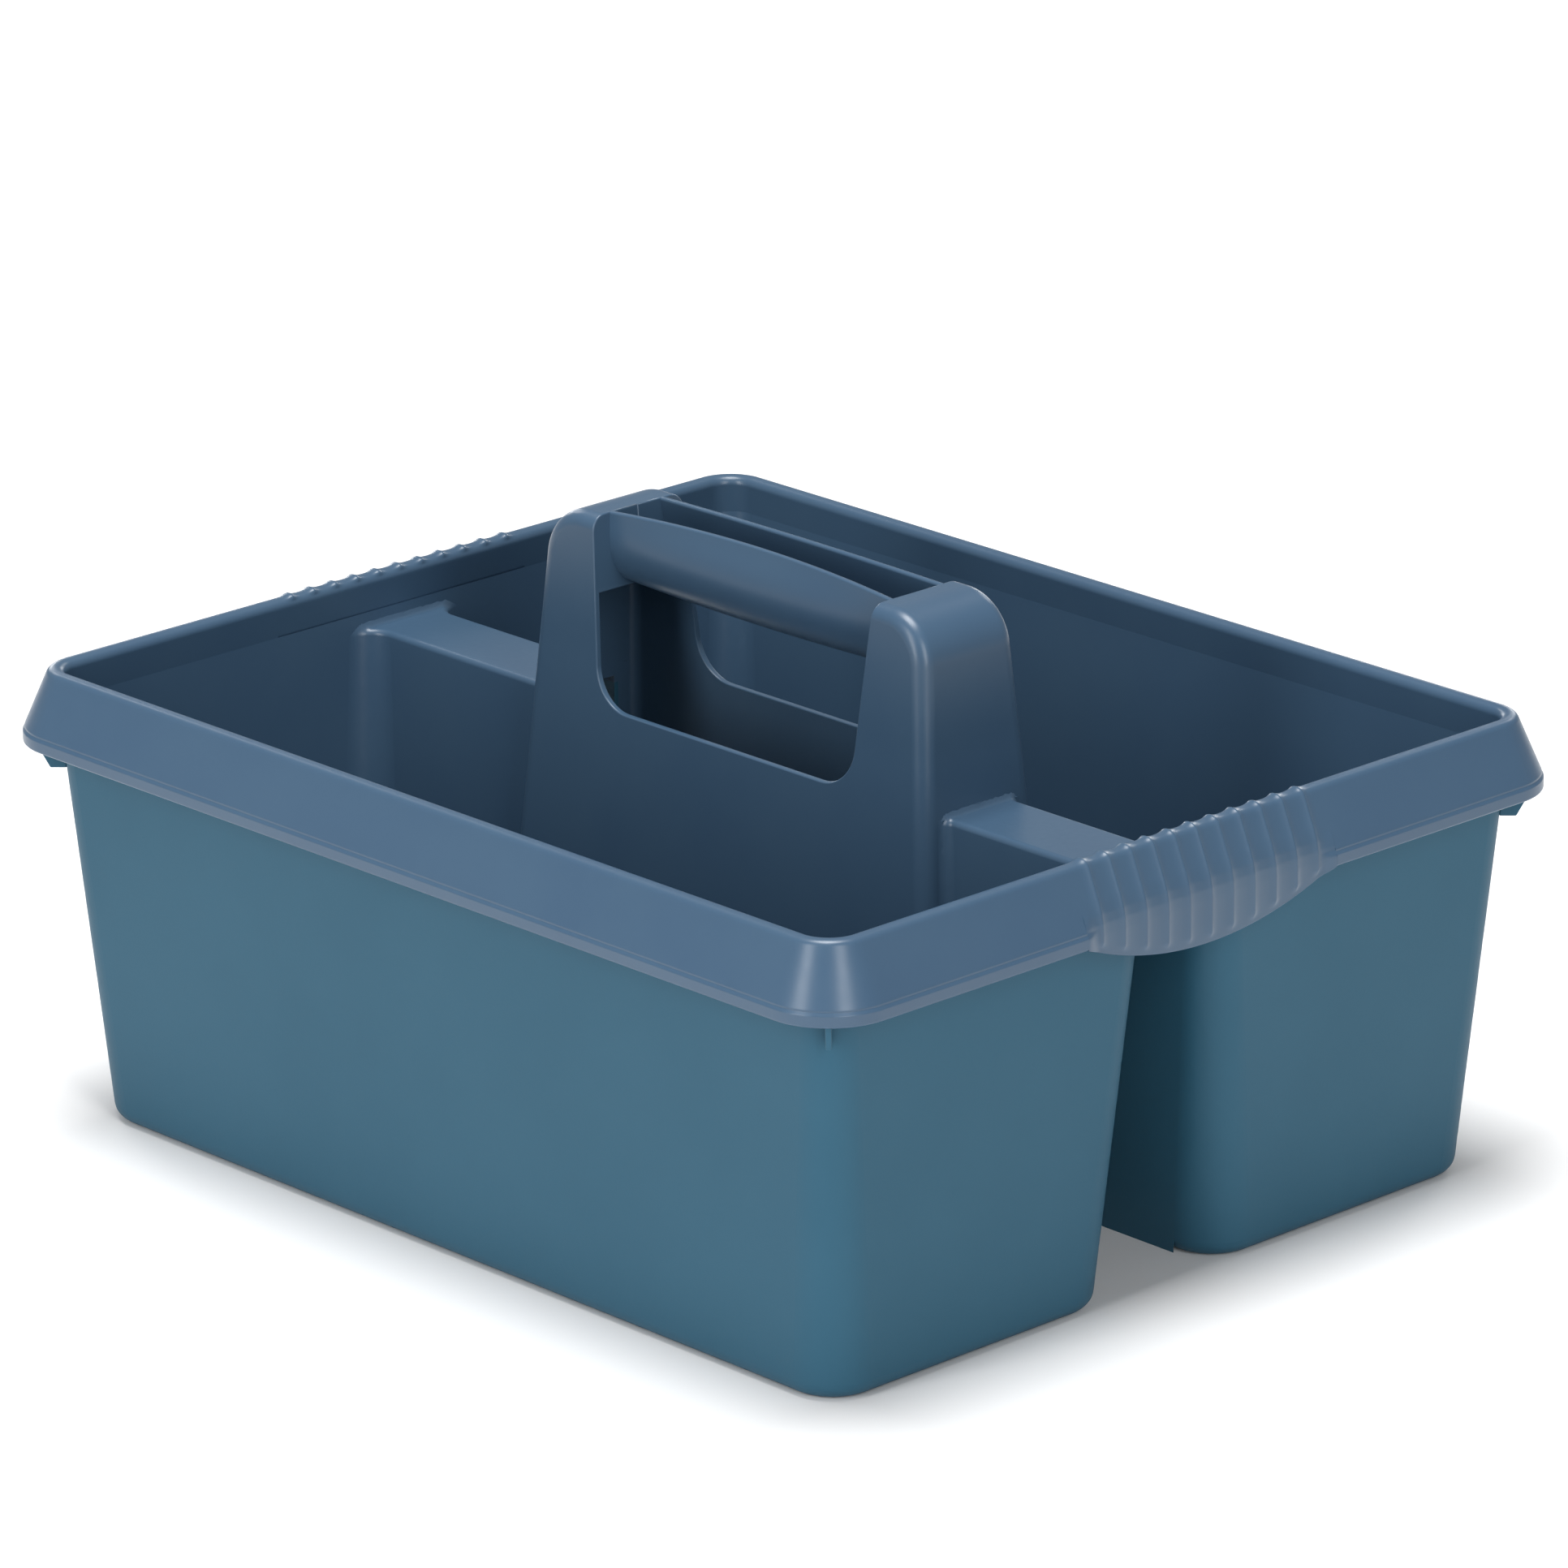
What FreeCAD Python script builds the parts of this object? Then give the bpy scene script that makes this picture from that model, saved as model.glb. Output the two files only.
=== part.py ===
import FreeCAD, Part
import Sketcher
import math
import os
from FreeCAD import Placement, Rotation, Vector

# A two-bin cleaning caddy, moulded in one piece of polypropylene. Two drafted bins stand either side
# of an open channel. A saddle bridges the channel at each end, and a hollow handle tower stands over
# its middle, with a window through both faces and a trough-shaped grip bar across the top. The rim
# rolls over into an outward apron with a hem lip, and each short side has a ribbed, scalloped grip.
#
# Frame: millimetres, +Z up, origin on the standing plane under the middle of the caddy, +X along the
# long side. The front is -Y. The moulding is divided where its regions meet, into solids that touch
# face to face.

doc = FreeCAD.newDocument("cleaning_caddy")

# ---------------------------------------------------------------- driving dimensions
DIMENSIONS = (
    ("wall", 2.2),                    # wall thickness of the moulding
    ("base_length", 179.0),           # half length of the bins' outer planes at the floor
    ("base_depth", 147.2),            # half depth of the bins' outer planes at the floor
    ("draft", 0.0621),                # outward lean of the outer walls, per mm of height
    ("channel_width", 22.4),          # half width of the channel at the floor
    ("channel_draft", 0.070),         # how much the channel narrows, per mm of height
    ("corner_low", 17.5),             # vertical corner radius of a bin at the floor
    ("corner_high", 11.8),            # and where the rim begins
    ("floor_round", 6.0),             # outer round of a bin's bottom edge
    ("floor_inner_round", 3.0),       # inner round where the walls meet the floor
    ("rim_base", 146.0),              # height where the wall turns into the rim section
    ("rim_top", 158.8),               # top of the rolled rim
    ("roll_length", 188.25),          # half length at the middle of the roll
    ("roll_radius", 3.0),             # radius of the rolled top
    ("roll_flat", 0.6),               # level land on the top of the roll
    ("rim_corner", 12.0),             # plan radius of the roll's middle line
    ("apron_slope", 0.4327),          # outward lean of the apron, per mm of drop
    ("apron_foot", 140.9),            # height where the slope ends above the hem
    ("hem_reach", 11.75),             # hem's outer face, out from the middle of the roll
    ("hem_high", 138.2),              # top of the hem lip
    ("hem_low", 133.6),               # bottom of the hem lip
    ("hem_round", 0.8),               # edge round of the hem lip
    ("hem_chamfer", 1.2),             # height over which the lip steps out to its full reach
    ("hem_neck", 0.5),                # round where the lip leaves the apron
    ("hem_inner_round", 0.4),         # round of the lip's inner lower edge
    ("apron_round", 1.2),             # round where the apron's slope turns upright
    ("slot_gap", 0.6),                # how much the roll's underside is thinner than a full round
    ("saddle_base", 136.0),           # height where a saddle is divided from the bins
    ("saddle_top", 140.8),            # top face of a saddle
    ("saddle_reach", 27.0),           # half depth of the region kept with a saddle
    ("tower_length", 106.28),         # tower's half length at the floor
    ("tower_taper", 0.082),           # how much it shortens, per mm of height
    ("tower_depth", 34.5),            # tower's half depth at the floor
    ("tower_lean", 0.070),            # how much it thins, per mm of height
    ("tower_top", 207.6),             # top of the tower's shoulders
    ("shoulder_radius", 18.0),        # big round of a shoulder
    ("tower_round", 5.5),             # edge round along the tower's outline
    ("tower_foot", 95.15),            # half length of the region kept with the tower
    ("junction_round", 3.5),          # where the tower meets a saddle's side
    ("post_start", 72.0),             # distance from the middle where a post begins
    ("window_low", 144.1),            # lower edge of the window
    ("window_low_width", 60.0),       # half width of the window at its lower edge
    ("window_high_width", 66.9),      # and at the level where its sides run out
    ("window_high", 215.0),           # that level, above the tower
    ("window_round", 15.0),           # lower corner radius of the window
    ("web_low", 181.5),               # lower edge of the webs that close the posts
    ("trough_bottom", 182.0),         # outer bottom of the grip trough at its ends
    ("trough_top", 207.4),            # its top edges at the ends
    ("trough_half_width", 12.8),      # half width at its top edges, at the ends
    ("trough_belly", 13.4),           # half width at its belly
    ("trough_pinch", 3.5),            # how far its top edges come in at mid length
    ("trough_rise", 2.25),            # how far its top edges arch up at mid length
    ("trough_sag", 1.5),              # how far its bottom hangs down at mid length
    ("trough_span", 70.0),            # half length over which the trough is drawn
    ("waist_share", 0.52),            # height of the belly, as a share of the trough's height
    ("haunch_out", 0.62),             # where its side turns under, as a share of the belly
    ("haunch_up", 0.19),              # and how far up that is, as a share of the belly
    ("grip_half", 56.0),              # half width of a side grip
    ("grip_reach", 9.95),             # grip's outer face, out from the middle of the roll
    ("grip_low", 121.7),              # lowest point of the scalloped edge
    ("grip_edge", 135.2),             # height of the scallop where it runs into the hem
    ("grip_belly", 25.0),             # round between the grip's slope and its upright face
    ("rib_pitch", 9.7),               # spacing of the grip ribs
    ("rib_width", 2.0),               # width of a rib
    ("rib_height", 0.9),              # how far a rib stands proud
    ("rib_root", 0.5),                # how deep a rib is let into the grip
    ("lip_allowance", 2.0),           # how far a grip is drawn below its scallop before trimming
    ("gusset_low", 123.5),            # lower edge of a corner gusset
    ("gusset_width", 2.0),            # thickness of a gusset
    ("gusset_out", 3.0),              # how far its lower edge runs beyond the roll
    ("gusset_reach", 7.6),            # its widest, where it meets the apron
    ("gusset_rise", 8.5),             # height over which it widens to that
    ("gusset_upright", 5.5),          # height of its upright edge
    ("gusset_top", 4.0),              # how far its top edge runs beyond the roll
)
RIBS_EACH_SIDE = 5
TROUGH_STATIONS = 9
SHARP = 0.0
TINY = 1e-9
NEAR = 0.01                           # how close counts as the same level
QUARTER_TURN = 90

# Sizes of the boxes that only cut or divide, all well clear of what they act on.
CLEAR = 260                           # beyond the whole caddy
ACROSS_TOWER = 60                     # beyond the tower's faces
ALONG_TOWER = 150                     # beyond the tower's ends
ACROSS_SADDLE = 30                    # beyond a saddle's sides
UNDER_FLOOR = -20                     # where tools start, below the standing plane

sheet = doc.addObject("Spreadsheet::Sheet", "sheet")
for row, (alias, number) in enumerate(DIMENSIONS, start=1):
    sheet.set(f"A{row}", alias)
    sheet.set(f"B{row}", str(number))
    sheet.setAlias(f"B{row}", alias)
doc.recompute()


class Size:
    """A number read from the sheet, or worked out from such numbers, with the text that binds it."""

    def __init__(self, value, text=None):
        self.value = float(value)
        self.text = text or repr(float(value))

    def join(self, other, sign, value):
        return Size(value, f"({self.text} {sign} {as_size(other).text})")

    def __add__(self, other):
        return self.join(other, "+", self.value + as_size(other).value)

    def __sub__(self, other):
        return self.join(other, "-", self.value - as_size(other).value)

    def __mul__(self, other):
        return self.join(other, "*", self.value * as_size(other).value)

    def __truediv__(self, other):
        return self.join(other, "/", self.value / as_size(other).value)

    def __neg__(self):
        return Size(-self.value, f"(0 - {self.text})")


def as_size(number):
    return number if isinstance(number, Size) else Size(number)


def cell(alias):
    return Size(sheet.get(alias), f"sheet.{alias}")


wall = cell("wall")
rim_base = cell("rim_base")
rim_top = cell("rim_top")

# ---------------------------------------------------------------- drawing helpers
PLAN = Rotation()                                  # sketch x is X, sketch y is Y
FRONT = Rotation(Vector(1, 0, 0), 90)              # sketch x is X, sketch y is Z
SIDE = Rotation(Vector(1, 1, 1), 120)              # sketch x is Y, sketch y is Z
ALONG_X, ALONG_Y, ALONG_Z = Vector(1, 0, 0), Vector(0, 1, 0), Vector(0, 0, 1)


def corner_arc(before, at, after, radius):
    """The two tangent points, the centre and the turn's sign of a rounded corner."""
    back, ahead = (before - at).normalize(), (after - at).normalize()
    half = back.getAngle(ahead) / 2
    reach = radius / math.tan(half)
    centre = at + (back + ahead).normalize() * (radius / math.sin(half))
    turn = (at - before).cross(after - at).z
    return at + back * reach, at + ahead * reach, centre, turn


def outline(name, corners, plane, level=None):
    """A closed sketch of straight edges. Each corner is (x, y, radius), all bound to the sheet."""
    sketch = doc.addObject("Sketcher::SketchObject", name)
    sketch.Placement = Placement(Vector(0, 0, level.value if level else 0), plane)
    if level:
        sketch.setExpression("Placement.Base.z", level.text)
    corners = [tuple(as_size(number) for number in corner) for corner in corners]
    points = [Vector(corner[0].value, corner[1].value, 0) for corner in corners]
    count = len(points)
    starts, ends, arcs = list(points), list(points), {}
    for i, corner in enumerate(corners):
        if corner[2].value > SHARP:
            into, out, centre, turn = corner_arc(
                points[i - 1], points[i], points[(i + 1) % count], corner[2].value)
            starts[i], ends[i], arcs[i] = out, into, (centre, turn)
    for i in range(count):
        sketch.addGeometry(Part.LineSegment(starts[i], ends[(i + 1) % count]), False)
    links = []
    bound = []

    def pin(piece, spot, axis, size):
        if abs(size.value) < TINY:
            sketch_axis = -2 if axis == "X" else -1
            links.append(Sketcher.Constraint("PointOnObject", piece, spot, sketch_axis))
        elif size.value > 0:
            distance = Sketcher.Constraint("Distance" + axis, -1, 1, piece, spot, size.value)
            bound.append((distance, size))
        else:
            size = -size
            distance = Sketcher.Constraint("Distance" + axis, piece, spot, -1, 1, size.value)
            bound.append((distance, size))

    for i, corner in enumerate(corners):
        entering = (i - 1) % count
        if i not in arcs:
            links.append(Sketcher.Constraint("Coincident", entering, 2, i, 1))
            piece, spot = i, 1
        else:
            centre, turn = arcs[i]
            first, last = (ends[i], starts[i]) if turn > 0 else (starts[i], ends[i])
            circle = Part.Circle(centre, Vector(0, 0, 1), corner[2].value)
            arc = sketch.addGeometry(
                Part.ArcOfCircle(circle, circle.parameter(first), circle.parameter(last)), False)
            enter, leave = (1, 2) if turn > 0 else (2, 1)
            links.append(Sketcher.Constraint("Tangent", entering, 2, arc, enter))
            links.append(Sketcher.Constraint("Tangent", arc, leave, i, 1))
            bound.append((Sketcher.Constraint("Radius", arc, corner[2].value), corner[2]))
            piece, spot = sketch.addGeometry(Part.Point(points[i]), True), 1
            links.append(Sketcher.Constraint("PointOnObject", piece, 1, entering))
            links.append(Sketcher.Constraint("PointOnObject", piece, 1, i))
        pin(piece, spot, "X", corner[0])
        pin(piece, spot, "Y", corner[1])
    sketch.addConstraint(links)
    first = sketch.ConstraintCount
    sketch.addConstraint([constraint for constraint, size in bound])
    for i, (constraint, size) in enumerate(bound):
        sketch.renameConstraint(first + i, f"size_{i}")
        sketch.setExpression(f"Constraints.size_{i}", size.text)
    return sketch


def prism(name, sketch, direction, forward, backward=0):
    """A sketch drawn out along a direction."""
    solid = doc.addObject("Part::Extrusion", name)
    solid.Base = sketch
    solid.DirMode = "Custom"
    solid.Dir = direction
    solid.Solid = True
    for side, size in (("LengthFwd", as_size(forward)), ("LengthRev", as_size(backward))):
        solid.setExpression(side, size.text)
    return solid


def loft(name, lower, upper):
    solid = doc.addObject("Part::Loft", name)
    solid.Sections = [lower, upper]
    solid.Solid = True
    solid.Ruled = True
    return solid


def block(name, low, high):
    """A box between two corners."""
    solid = doc.addObject("Part::Box", name)
    for axis, side, a, b in zip("xyz", ("Length", "Width", "Height"), low, high):
        a, b = as_size(a), as_size(b)
        solid.setExpression(f"Placement.Base.{axis}", a.text)
        solid.setExpression(side, (b - a).text)
    return solid


def cut(name, base, tool):
    solid = doc.addObject("Part::Cut", name)
    solid.Base, solid.Tool = base, tool
    return solid


def fuse(name, *pieces):
    solid = doc.addObject("Part::MultiFuse", name)
    solid.Shapes = list(pieces)
    return solid


def common(name, *pieces):
    solid = doc.addObject("Part::MultiCommon", name)
    solid.Shapes = list(pieces)
    return solid


def rounded(name, base, radius, chosen):
    """Rounds the edges that the test chosen(edge) picks."""
    doc.recompute()
    solid = doc.addObject("Part::Fillet", name)
    solid.Base = base
    picked = [i for i, edge in enumerate(base.Shape.Edges, start=1) if chosen(edge)]
    solid.Edges = [(i, radius.value, radius.value) for i in picked]
    return solid


nodes = {}


def node(label, solid):
    """Names a finished sub-part; the label is also its file name."""
    solid.Label = label
    nodes[label] = solid
    return solid


# ---------------------------------------------------------------- bins
def half_length(level):
    return cell("base_length") + cell("draft") * level


def half_depth(level):
    return cell("base_depth") + cell("draft") * level


def channel(level):
    return cell("channel_width") - cell("channel_draft") * level


def corner_radius(level):
    return cell("corner_low") - (cell("corner_low") - cell("corner_high")) * level / rim_base


def bin_plan(name, level, inset):
    """Plan of the front bin at a height, drawn in by the inset."""
    x = half_length(level) - inset
    near = -(half_depth(level) - inset)
    far = -(channel(level) + inset)
    radius = corner_radius(level) - inset
    return outline(name, [(-x, near, radius), (x, near, radius), (x, far, radius), (-x, far, radius)],
                   PLAN, as_size(level))


def mirrored(name, solid):
    """The same solid on the other side of the channel."""
    twin = doc.addObject("Part::Mirroring", name)
    twin.Source = solid
    twin.Normal = ALONG_Y
    return twin


def at_floor(edge):
    return edge.BoundBox.ZMax < NEAR


def at_cavity_floor(edge):
    return edge.BoundBox.ZMax < wall.value + NEAR


none = Size(0)
bin_sharp = loft("bin_sharp", bin_plan("bin_plan_low", none, none),
                 bin_plan("bin_plan_high", rim_base, none))
bin_outer = rounded("bin_outer", bin_sharp, cell("floor_round"), at_floor)
bin_cavity = loft("bin_cavity", bin_plan("cavity_plan_low", wall, wall),
                  bin_plan("cavity_plan_high", rim_base, wall))

# ---------------------------------------------------------------- tower block, outside and inside
BELOW = Size(UNDER_FLOOR)
FAR_OUT = Size(CLEAR)


def tower_block(name, inset):
    """The tower's tablet shape, drawn in by the inset and run down below the floor."""
    top = cell("tower_top") - inset

    def length(level):
        return cell("tower_length") - cell("tower_taper") * level - inset

    def depth(level):
        return cell("tower_depth") - cell("tower_lean") * level - inset

    shoulder = cell("shoulder_radius") - inset
    face = outline(name + "_face", [(-length(BELOW), BELOW, SHARP), (length(BELOW), BELOW, SHARP),
                                    (length(top), top, shoulder), (-length(top), top, shoulder)], FRONT)
    flank = outline(name + "_flank", [(-depth(BELOW), BELOW, SHARP), (depth(BELOW), BELOW, SHARP),
                                      (depth(top), top, SHARP), (-depth(top), top, SHARP)], SIDE)
    body = common(name + "_body",
                  prism(name + "_long", face, ALONG_Y, ACROSS_TOWER, ACROSS_TOWER),
                  prism(name + "_short", flank, ALONG_X, ALONG_TOWER, ALONG_TOWER))

    def on_outline(edge):
        """The edges all round both faces, but not those that cross from face to face."""
        crosses = edge.BoundBox.YLength > depth(top).value and edge.BoundBox.XLength < NEAR
        return not crosses and edge.BoundBox.ZMax > 0

    return rounded(name, body, cell("tower_round") - inset, on_outline)


tower_outer = tower_block("tower_outer", none)
tower_inner = tower_block("tower_inner", wall)


def window_prism(name, inset):
    """The window's shape through both faces, drawn out by the inset and open above the tower."""
    low, high = cell("window_low"), cell("window_high")
    narrow, wide = cell("window_low_width") + inset, cell("window_high_width") + inset
    edge = outline(name + "_edge", [
        (-narrow, low, cell("window_round")), (narrow, low, cell("window_round")),
        (wide, high, SHARP), (-wide, high, SHARP)], FRONT)
    return prism(name, edge, ALONG_Y, ACROSS_TOWER, ACROSS_TOWER)


window = window_prism("window", none)

# ---------------------------------------------------------------- one moulding below the rim
front_cavity = cut("front_cavity_sharp", bin_cavity, tower_outer)


def at_junction(edge):
    """The two uprights where the tower's narrow ends leave the channel wall."""
    upright = edge.BoundBox.ZLength > cell("rim_base").value / 2
    middle = edge.CenterOfMass
    half_height = middle.z
    tower_end = cell("tower_length").value - cell("tower_taper").value * half_height
    off_end = abs(abs(middle.x) - tower_end)
    in_step = abs(middle.y) < cell("channel_width").value + wall.value
    return upright and in_step and off_end < cell("junction_round").value


front_cavity = rounded("front_cavity_upright", front_cavity, cell("junction_round"), at_junction)
front_cavity = rounded("front_cavity", front_cavity, cell("floor_inner_round"), at_cavity_floor)
rear_cavity = mirrored("rear_cavity", front_cavity)
rear_outer = mirrored("rear_outer", bin_outer)

middle_x = half_length(none) - cell("corner_low")
saddle_low, saddle_top = cell("saddle_base"), cell("saddle_top")
ridge_high = channel(none)
ridge_wide = channel(none)
filler = block("channel_filler", (-middle_x, -ridge_wide, 0), (middle_x, ridge_wide, saddle_top))
across_saddle = cell("saddle_reach")


def rectangle(name, x, y, level):
    """A level rectangle about the middle of the caddy, from its half length and half depth."""
    return outline(name, [(-x, -y, SHARP), (x, -y, SHARP), (x, y, SHARP), (-x, y, SHARP)], PLAN, level)


bridge_low = rectangle("bridge_plan_low", half_length(saddle_low), across_saddle, saddle_low)
bridge_high = rectangle("bridge_plan_high", half_length(rim_base), across_saddle, rim_base)
bridge_block = loft("bridge_block", bridge_low, bridge_high)
above_floor = block("above_floor", (-ALONG_TOWER, -ACROSS_TOWER, 0), (ALONG_TOWER, ACROSS_TOWER, CLEAR))
tower_solid = common("tower_solid", tower_outer, above_floor)
full = fuse("full", bin_outer, rear_outer, filler, bridge_block, tower_solid)

# space above the saddles, between the bins
beyond_saddle = Size(ACROSS_SADDLE)
top_low = rectangle("top_space_low", half_length(saddle_top) - wall, beyond_saddle, saddle_top)
top_high = rectangle("top_space_high", half_length(rim_base) - wall, beyond_saddle, rim_base)
top_space = cut("top_space", loft("top_space_block", top_low, top_high), tower_outer)

roof = saddle_top - wall
under = outline("under_saddle", [(-channel(BELOW), BELOW, SHARP), (channel(BELOW), BELOW, SHARP),
                                 (channel(roof), roof, SHARP), (-channel(roof), roof, SHARP)], SIDE)
under_saddle = prism("under_saddle_space", under, ALONG_X, FAR_OUT, FAR_OUT)
hollows = fuse("hollows", front_cavity, rear_cavity, top_space, under_saddle, tower_inner)
shell = cut("shell", cut("shell_closed", full, hollows), window)

# webs that close the posts behind the window's sides
web_zone = block("web_zone", (-ALONG_TOWER, -ACROSS_TOWER, cell("web_low")),
                 (ALONG_TOWER, ACROSS_TOWER, CLEAR))
webs = common("webs", cut("web_band", window_prism("web_outer", wall), window), tower_outer, web_zone)
moulding = fuse("moulding", shell, webs)

# ---------------------------------------------------------------- regions of the moulding
foot = cell("tower_foot")
post = cell("post_start")
ridge_zone = block("ridge_zone", (-FAR_OUT, -across_saddle, saddle_low), (FAR_OUT, across_saddle, FAR_OUT))
below_ridge = cut("below_ridge", moulding, ridge_zone)
ridge = common("ridge", moulding, ridge_zone)


def region(label, source, low, high):
    """The stretch of the moulding that lies between two x and two y planes, as a sub-part."""
    zone = block(label + "_zone", (low[0], low[1], BELOW), (high[0], high[1], FAR_OUT))
    return node(label, common(label, source, zone))


region("front_bin", below_ridge, (-FAR_OUT, -FAR_OUT), (FAR_OUT, none))
region("rear_bin", below_ridge, (-FAR_OUT, none), (FAR_OUT, FAR_OUT))
region("left_saddle", ridge, (-FAR_OUT, -FAR_OUT), (-foot, FAR_OUT))
region("right_saddle", ridge, (foot, -FAR_OUT), (FAR_OUT, FAR_OUT))
region("left_handle_post", ridge, (-foot, -FAR_OUT), (-post, FAR_OUT))
region("right_handle_post", ridge, (post, -FAR_OUT), (foot, FAR_OUT))
region("front_handle_plate", ridge, (-post, -FAR_OUT), (post, none))
region("rear_handle_plate", ridge, (-post, none), (post, FAR_OUT))


# ---------------------------------------------------------------- grip trough across the window
def trough_section(share):
    """Closed U section of the trough; share runs from 0 at the middle to 1 at the ends."""
    fade = 1 - share ** 2
    top = cell("trough_top").value + cell("trough_rise").value * fade
    bottom = cell("trough_bottom").value - cell("trough_sag").value * fade
    lip = cell("trough_half_width").value - cell("trough_pinch").value * fade
    belly = cell("trough_belly").value
    waist = bottom + cell("waist_share").value * (top - bottom)

    def side(inset):
        """Half of the U from its lip to its lowest point, drawn in by the inset."""
        low = bottom + inset
        wide = belly - inset
        haunch = Vector(0, cell("haunch_out").value * wide, low + cell("haunch_up").value * wide)
        return Vector(0, lip - inset, top), Vector(0, wide, waist), haunch, Vector(0, 0, low)

    def curve(inset, sign):
        lip_point, belly_point, haunch, low = [Vector(p.x, sign * p.y, p.z) for p in side(inset)]
        spline = Part.BSplineCurve()
        spline.interpolate([lip_point, belly_point, haunch, low],
                           InitialTangent=belly_point - lip_point, FinalTangent=Vector(0, -sign, 0))
        return spline.toShape()

    outer_right, outer_left = curve(0, 1), curve(0, -1)
    inner_right, inner_left = curve(wall.value, 1), curve(wall.value, -1)
    right_lip = Part.makeLine(outer_right.Vertexes[0].Point, inner_right.Vertexes[0].Point)
    left_lip = Part.makeLine(outer_left.Vertexes[0].Point, inner_left.Vertexes[0].Point)
    edges = [outer_right, outer_left, left_lip, inner_left, inner_right, right_lip]
    return Part.Wire(Part.__sortEdges__(edges))


sections = []
for station in range(TROUGH_STATIONS):
    share = 2 * station / (TROUGH_STATIONS - 1) - 1
    section = trough_section(abs(share))
    section.translate(Vector(share * cell("trough_span").value, 0, 0))
    sections.append(section)
trough_bar = doc.addObject("Part::Feature", "trough_bar")
trough_bar.Shape = Part.makeLoft(sections, True, False)
node("handle_trough", common("handle_trough", trough_bar, window))

# ---------------------------------------------------------------- rim
roll = cell("roll_radius")
wall_foot = half_length(rim_base) - cell("roll_length")
crown = roll * math.tan((math.pi / 2 - math.atan(cell("apron_slope").value)) / 2) + cell("roll_flat")
slot_top = rim_top - wall - cell("slot_gap")
thick = wall * math.sqrt(1 + cell("apron_slope").value ** 2)


def apron(level):
    """How far out the apron's outer face is at a height."""
    return crown + cell("apron_slope") * (rim_top - level)


hem_root = apron(cell("apron_foot"))
hem_inner = hem_root - thick
slot_wall = half_length(slot_top) - cell("roll_length")
inner_face = [
    (slot_wall, slot_top, SHARP),
    (wall_foot, rim_base, SHARP),
    (wall_foot - wall, rim_base, SHARP),
    (-roll, rim_top, roll),
    (crown, rim_top, roll)]
slot_corner = (apron(slot_top) - thick, slot_top, SHARP)
hem = [
    (hem_root, cell("apron_foot"), cell("apron_round")),
    (hem_root, cell("hem_high"), cell("hem_neck")),
    (cell("hem_reach"), cell("hem_high") - cell("hem_chamfer"), cell("hem_round")),
    (cell("hem_reach"), cell("hem_low"), cell("hem_round")),
    (hem_inner + cell("hem_chamfer"), cell("hem_low"), cell("hem_inner_round")),
    (hem_inner, cell("apron_foot") - 1, cell("apron_round"))]
rim_section = outline("rim_section", inner_face + hem + [slot_corner], FRONT)


def rim_run(name, length, angle, x, y, section=rim_section):
    """A straight stretch of rim, turned about the vertical and set down at a place."""
    run = prism(name, section, ALONG_Y, length)
    run.Placement = Placement(Vector(x.value, y.value, 0), Rotation(ALONG_Z, angle))
    run.setExpression("Placement.Base.x", x.text)
    run.setExpression("Placement.Base.y", y.text)
    return run


roll_x = cell("roll_length")
roll_y = roll_x + cell("base_depth") - cell("base_length")
turn_x, turn_y = roll_x - cell("rim_corner"), roll_y - cell("rim_corner")
grip_half = cell("grip_half")
side_run = turn_y - grip_half
node("front_rim", rim_run("front_rim", turn_x * 2, -90, -turn_x, -roll_y))
node("rear_rim", rim_run("rear_rim", turn_x * 2, 90, turn_x, roll_y))
node("right_front_rim", rim_run("right_front_rim", side_run, 0, roll_x, -turn_y))
node("right_rear_rim", rim_run("right_rear_rim", side_run, 0, roll_x, grip_half))
node("left_rear_rim", rim_run("left_rear_rim", side_run, 180, -roll_x, turn_y))
node("left_front_rim", rim_run("left_front_rim", side_run, 180, -roll_x, -grip_half))

QUARTERS = (
    ("right_rear", 0, turn_x, turn_y),
    ("left_rear", 90, -turn_x, turn_y),
    ("left_front", 180, -turn_x, -turn_y),
    ("right_front", 270, turn_x, -turn_y))
corners = {}
for quarter, angle, x, y in QUARTERS:
    label = quarter + "_rim_corner"
    turn = doc.addObject("Part::Revolution", label)
    turn.Source = rim_section
    turn.Axis = ALONG_Z
    turn.Base = Vector(-cell("rim_corner").value, 0, 0)
    turn.setExpression("Base.x", (-cell("rim_corner")).text)
    turn.Angle = QUARTER_TURN
    turn.Solid = True
    offset = Rotation(ALONG_Z, angle).multVec(ALONG_X)
    place_x = x + cell("rim_corner") * offset.x
    place_y = y + cell("rim_corner") * offset.y
    turn.Placement = Placement(Vector(place_x.value, place_y.value, 0), Rotation(ALONG_Z, angle))
    turn.setExpression("Placement.Base.x", place_x.text)
    turn.setExpression("Placement.Base.y", place_y.text)
    corners[quarter] = node(label, turn)

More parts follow.
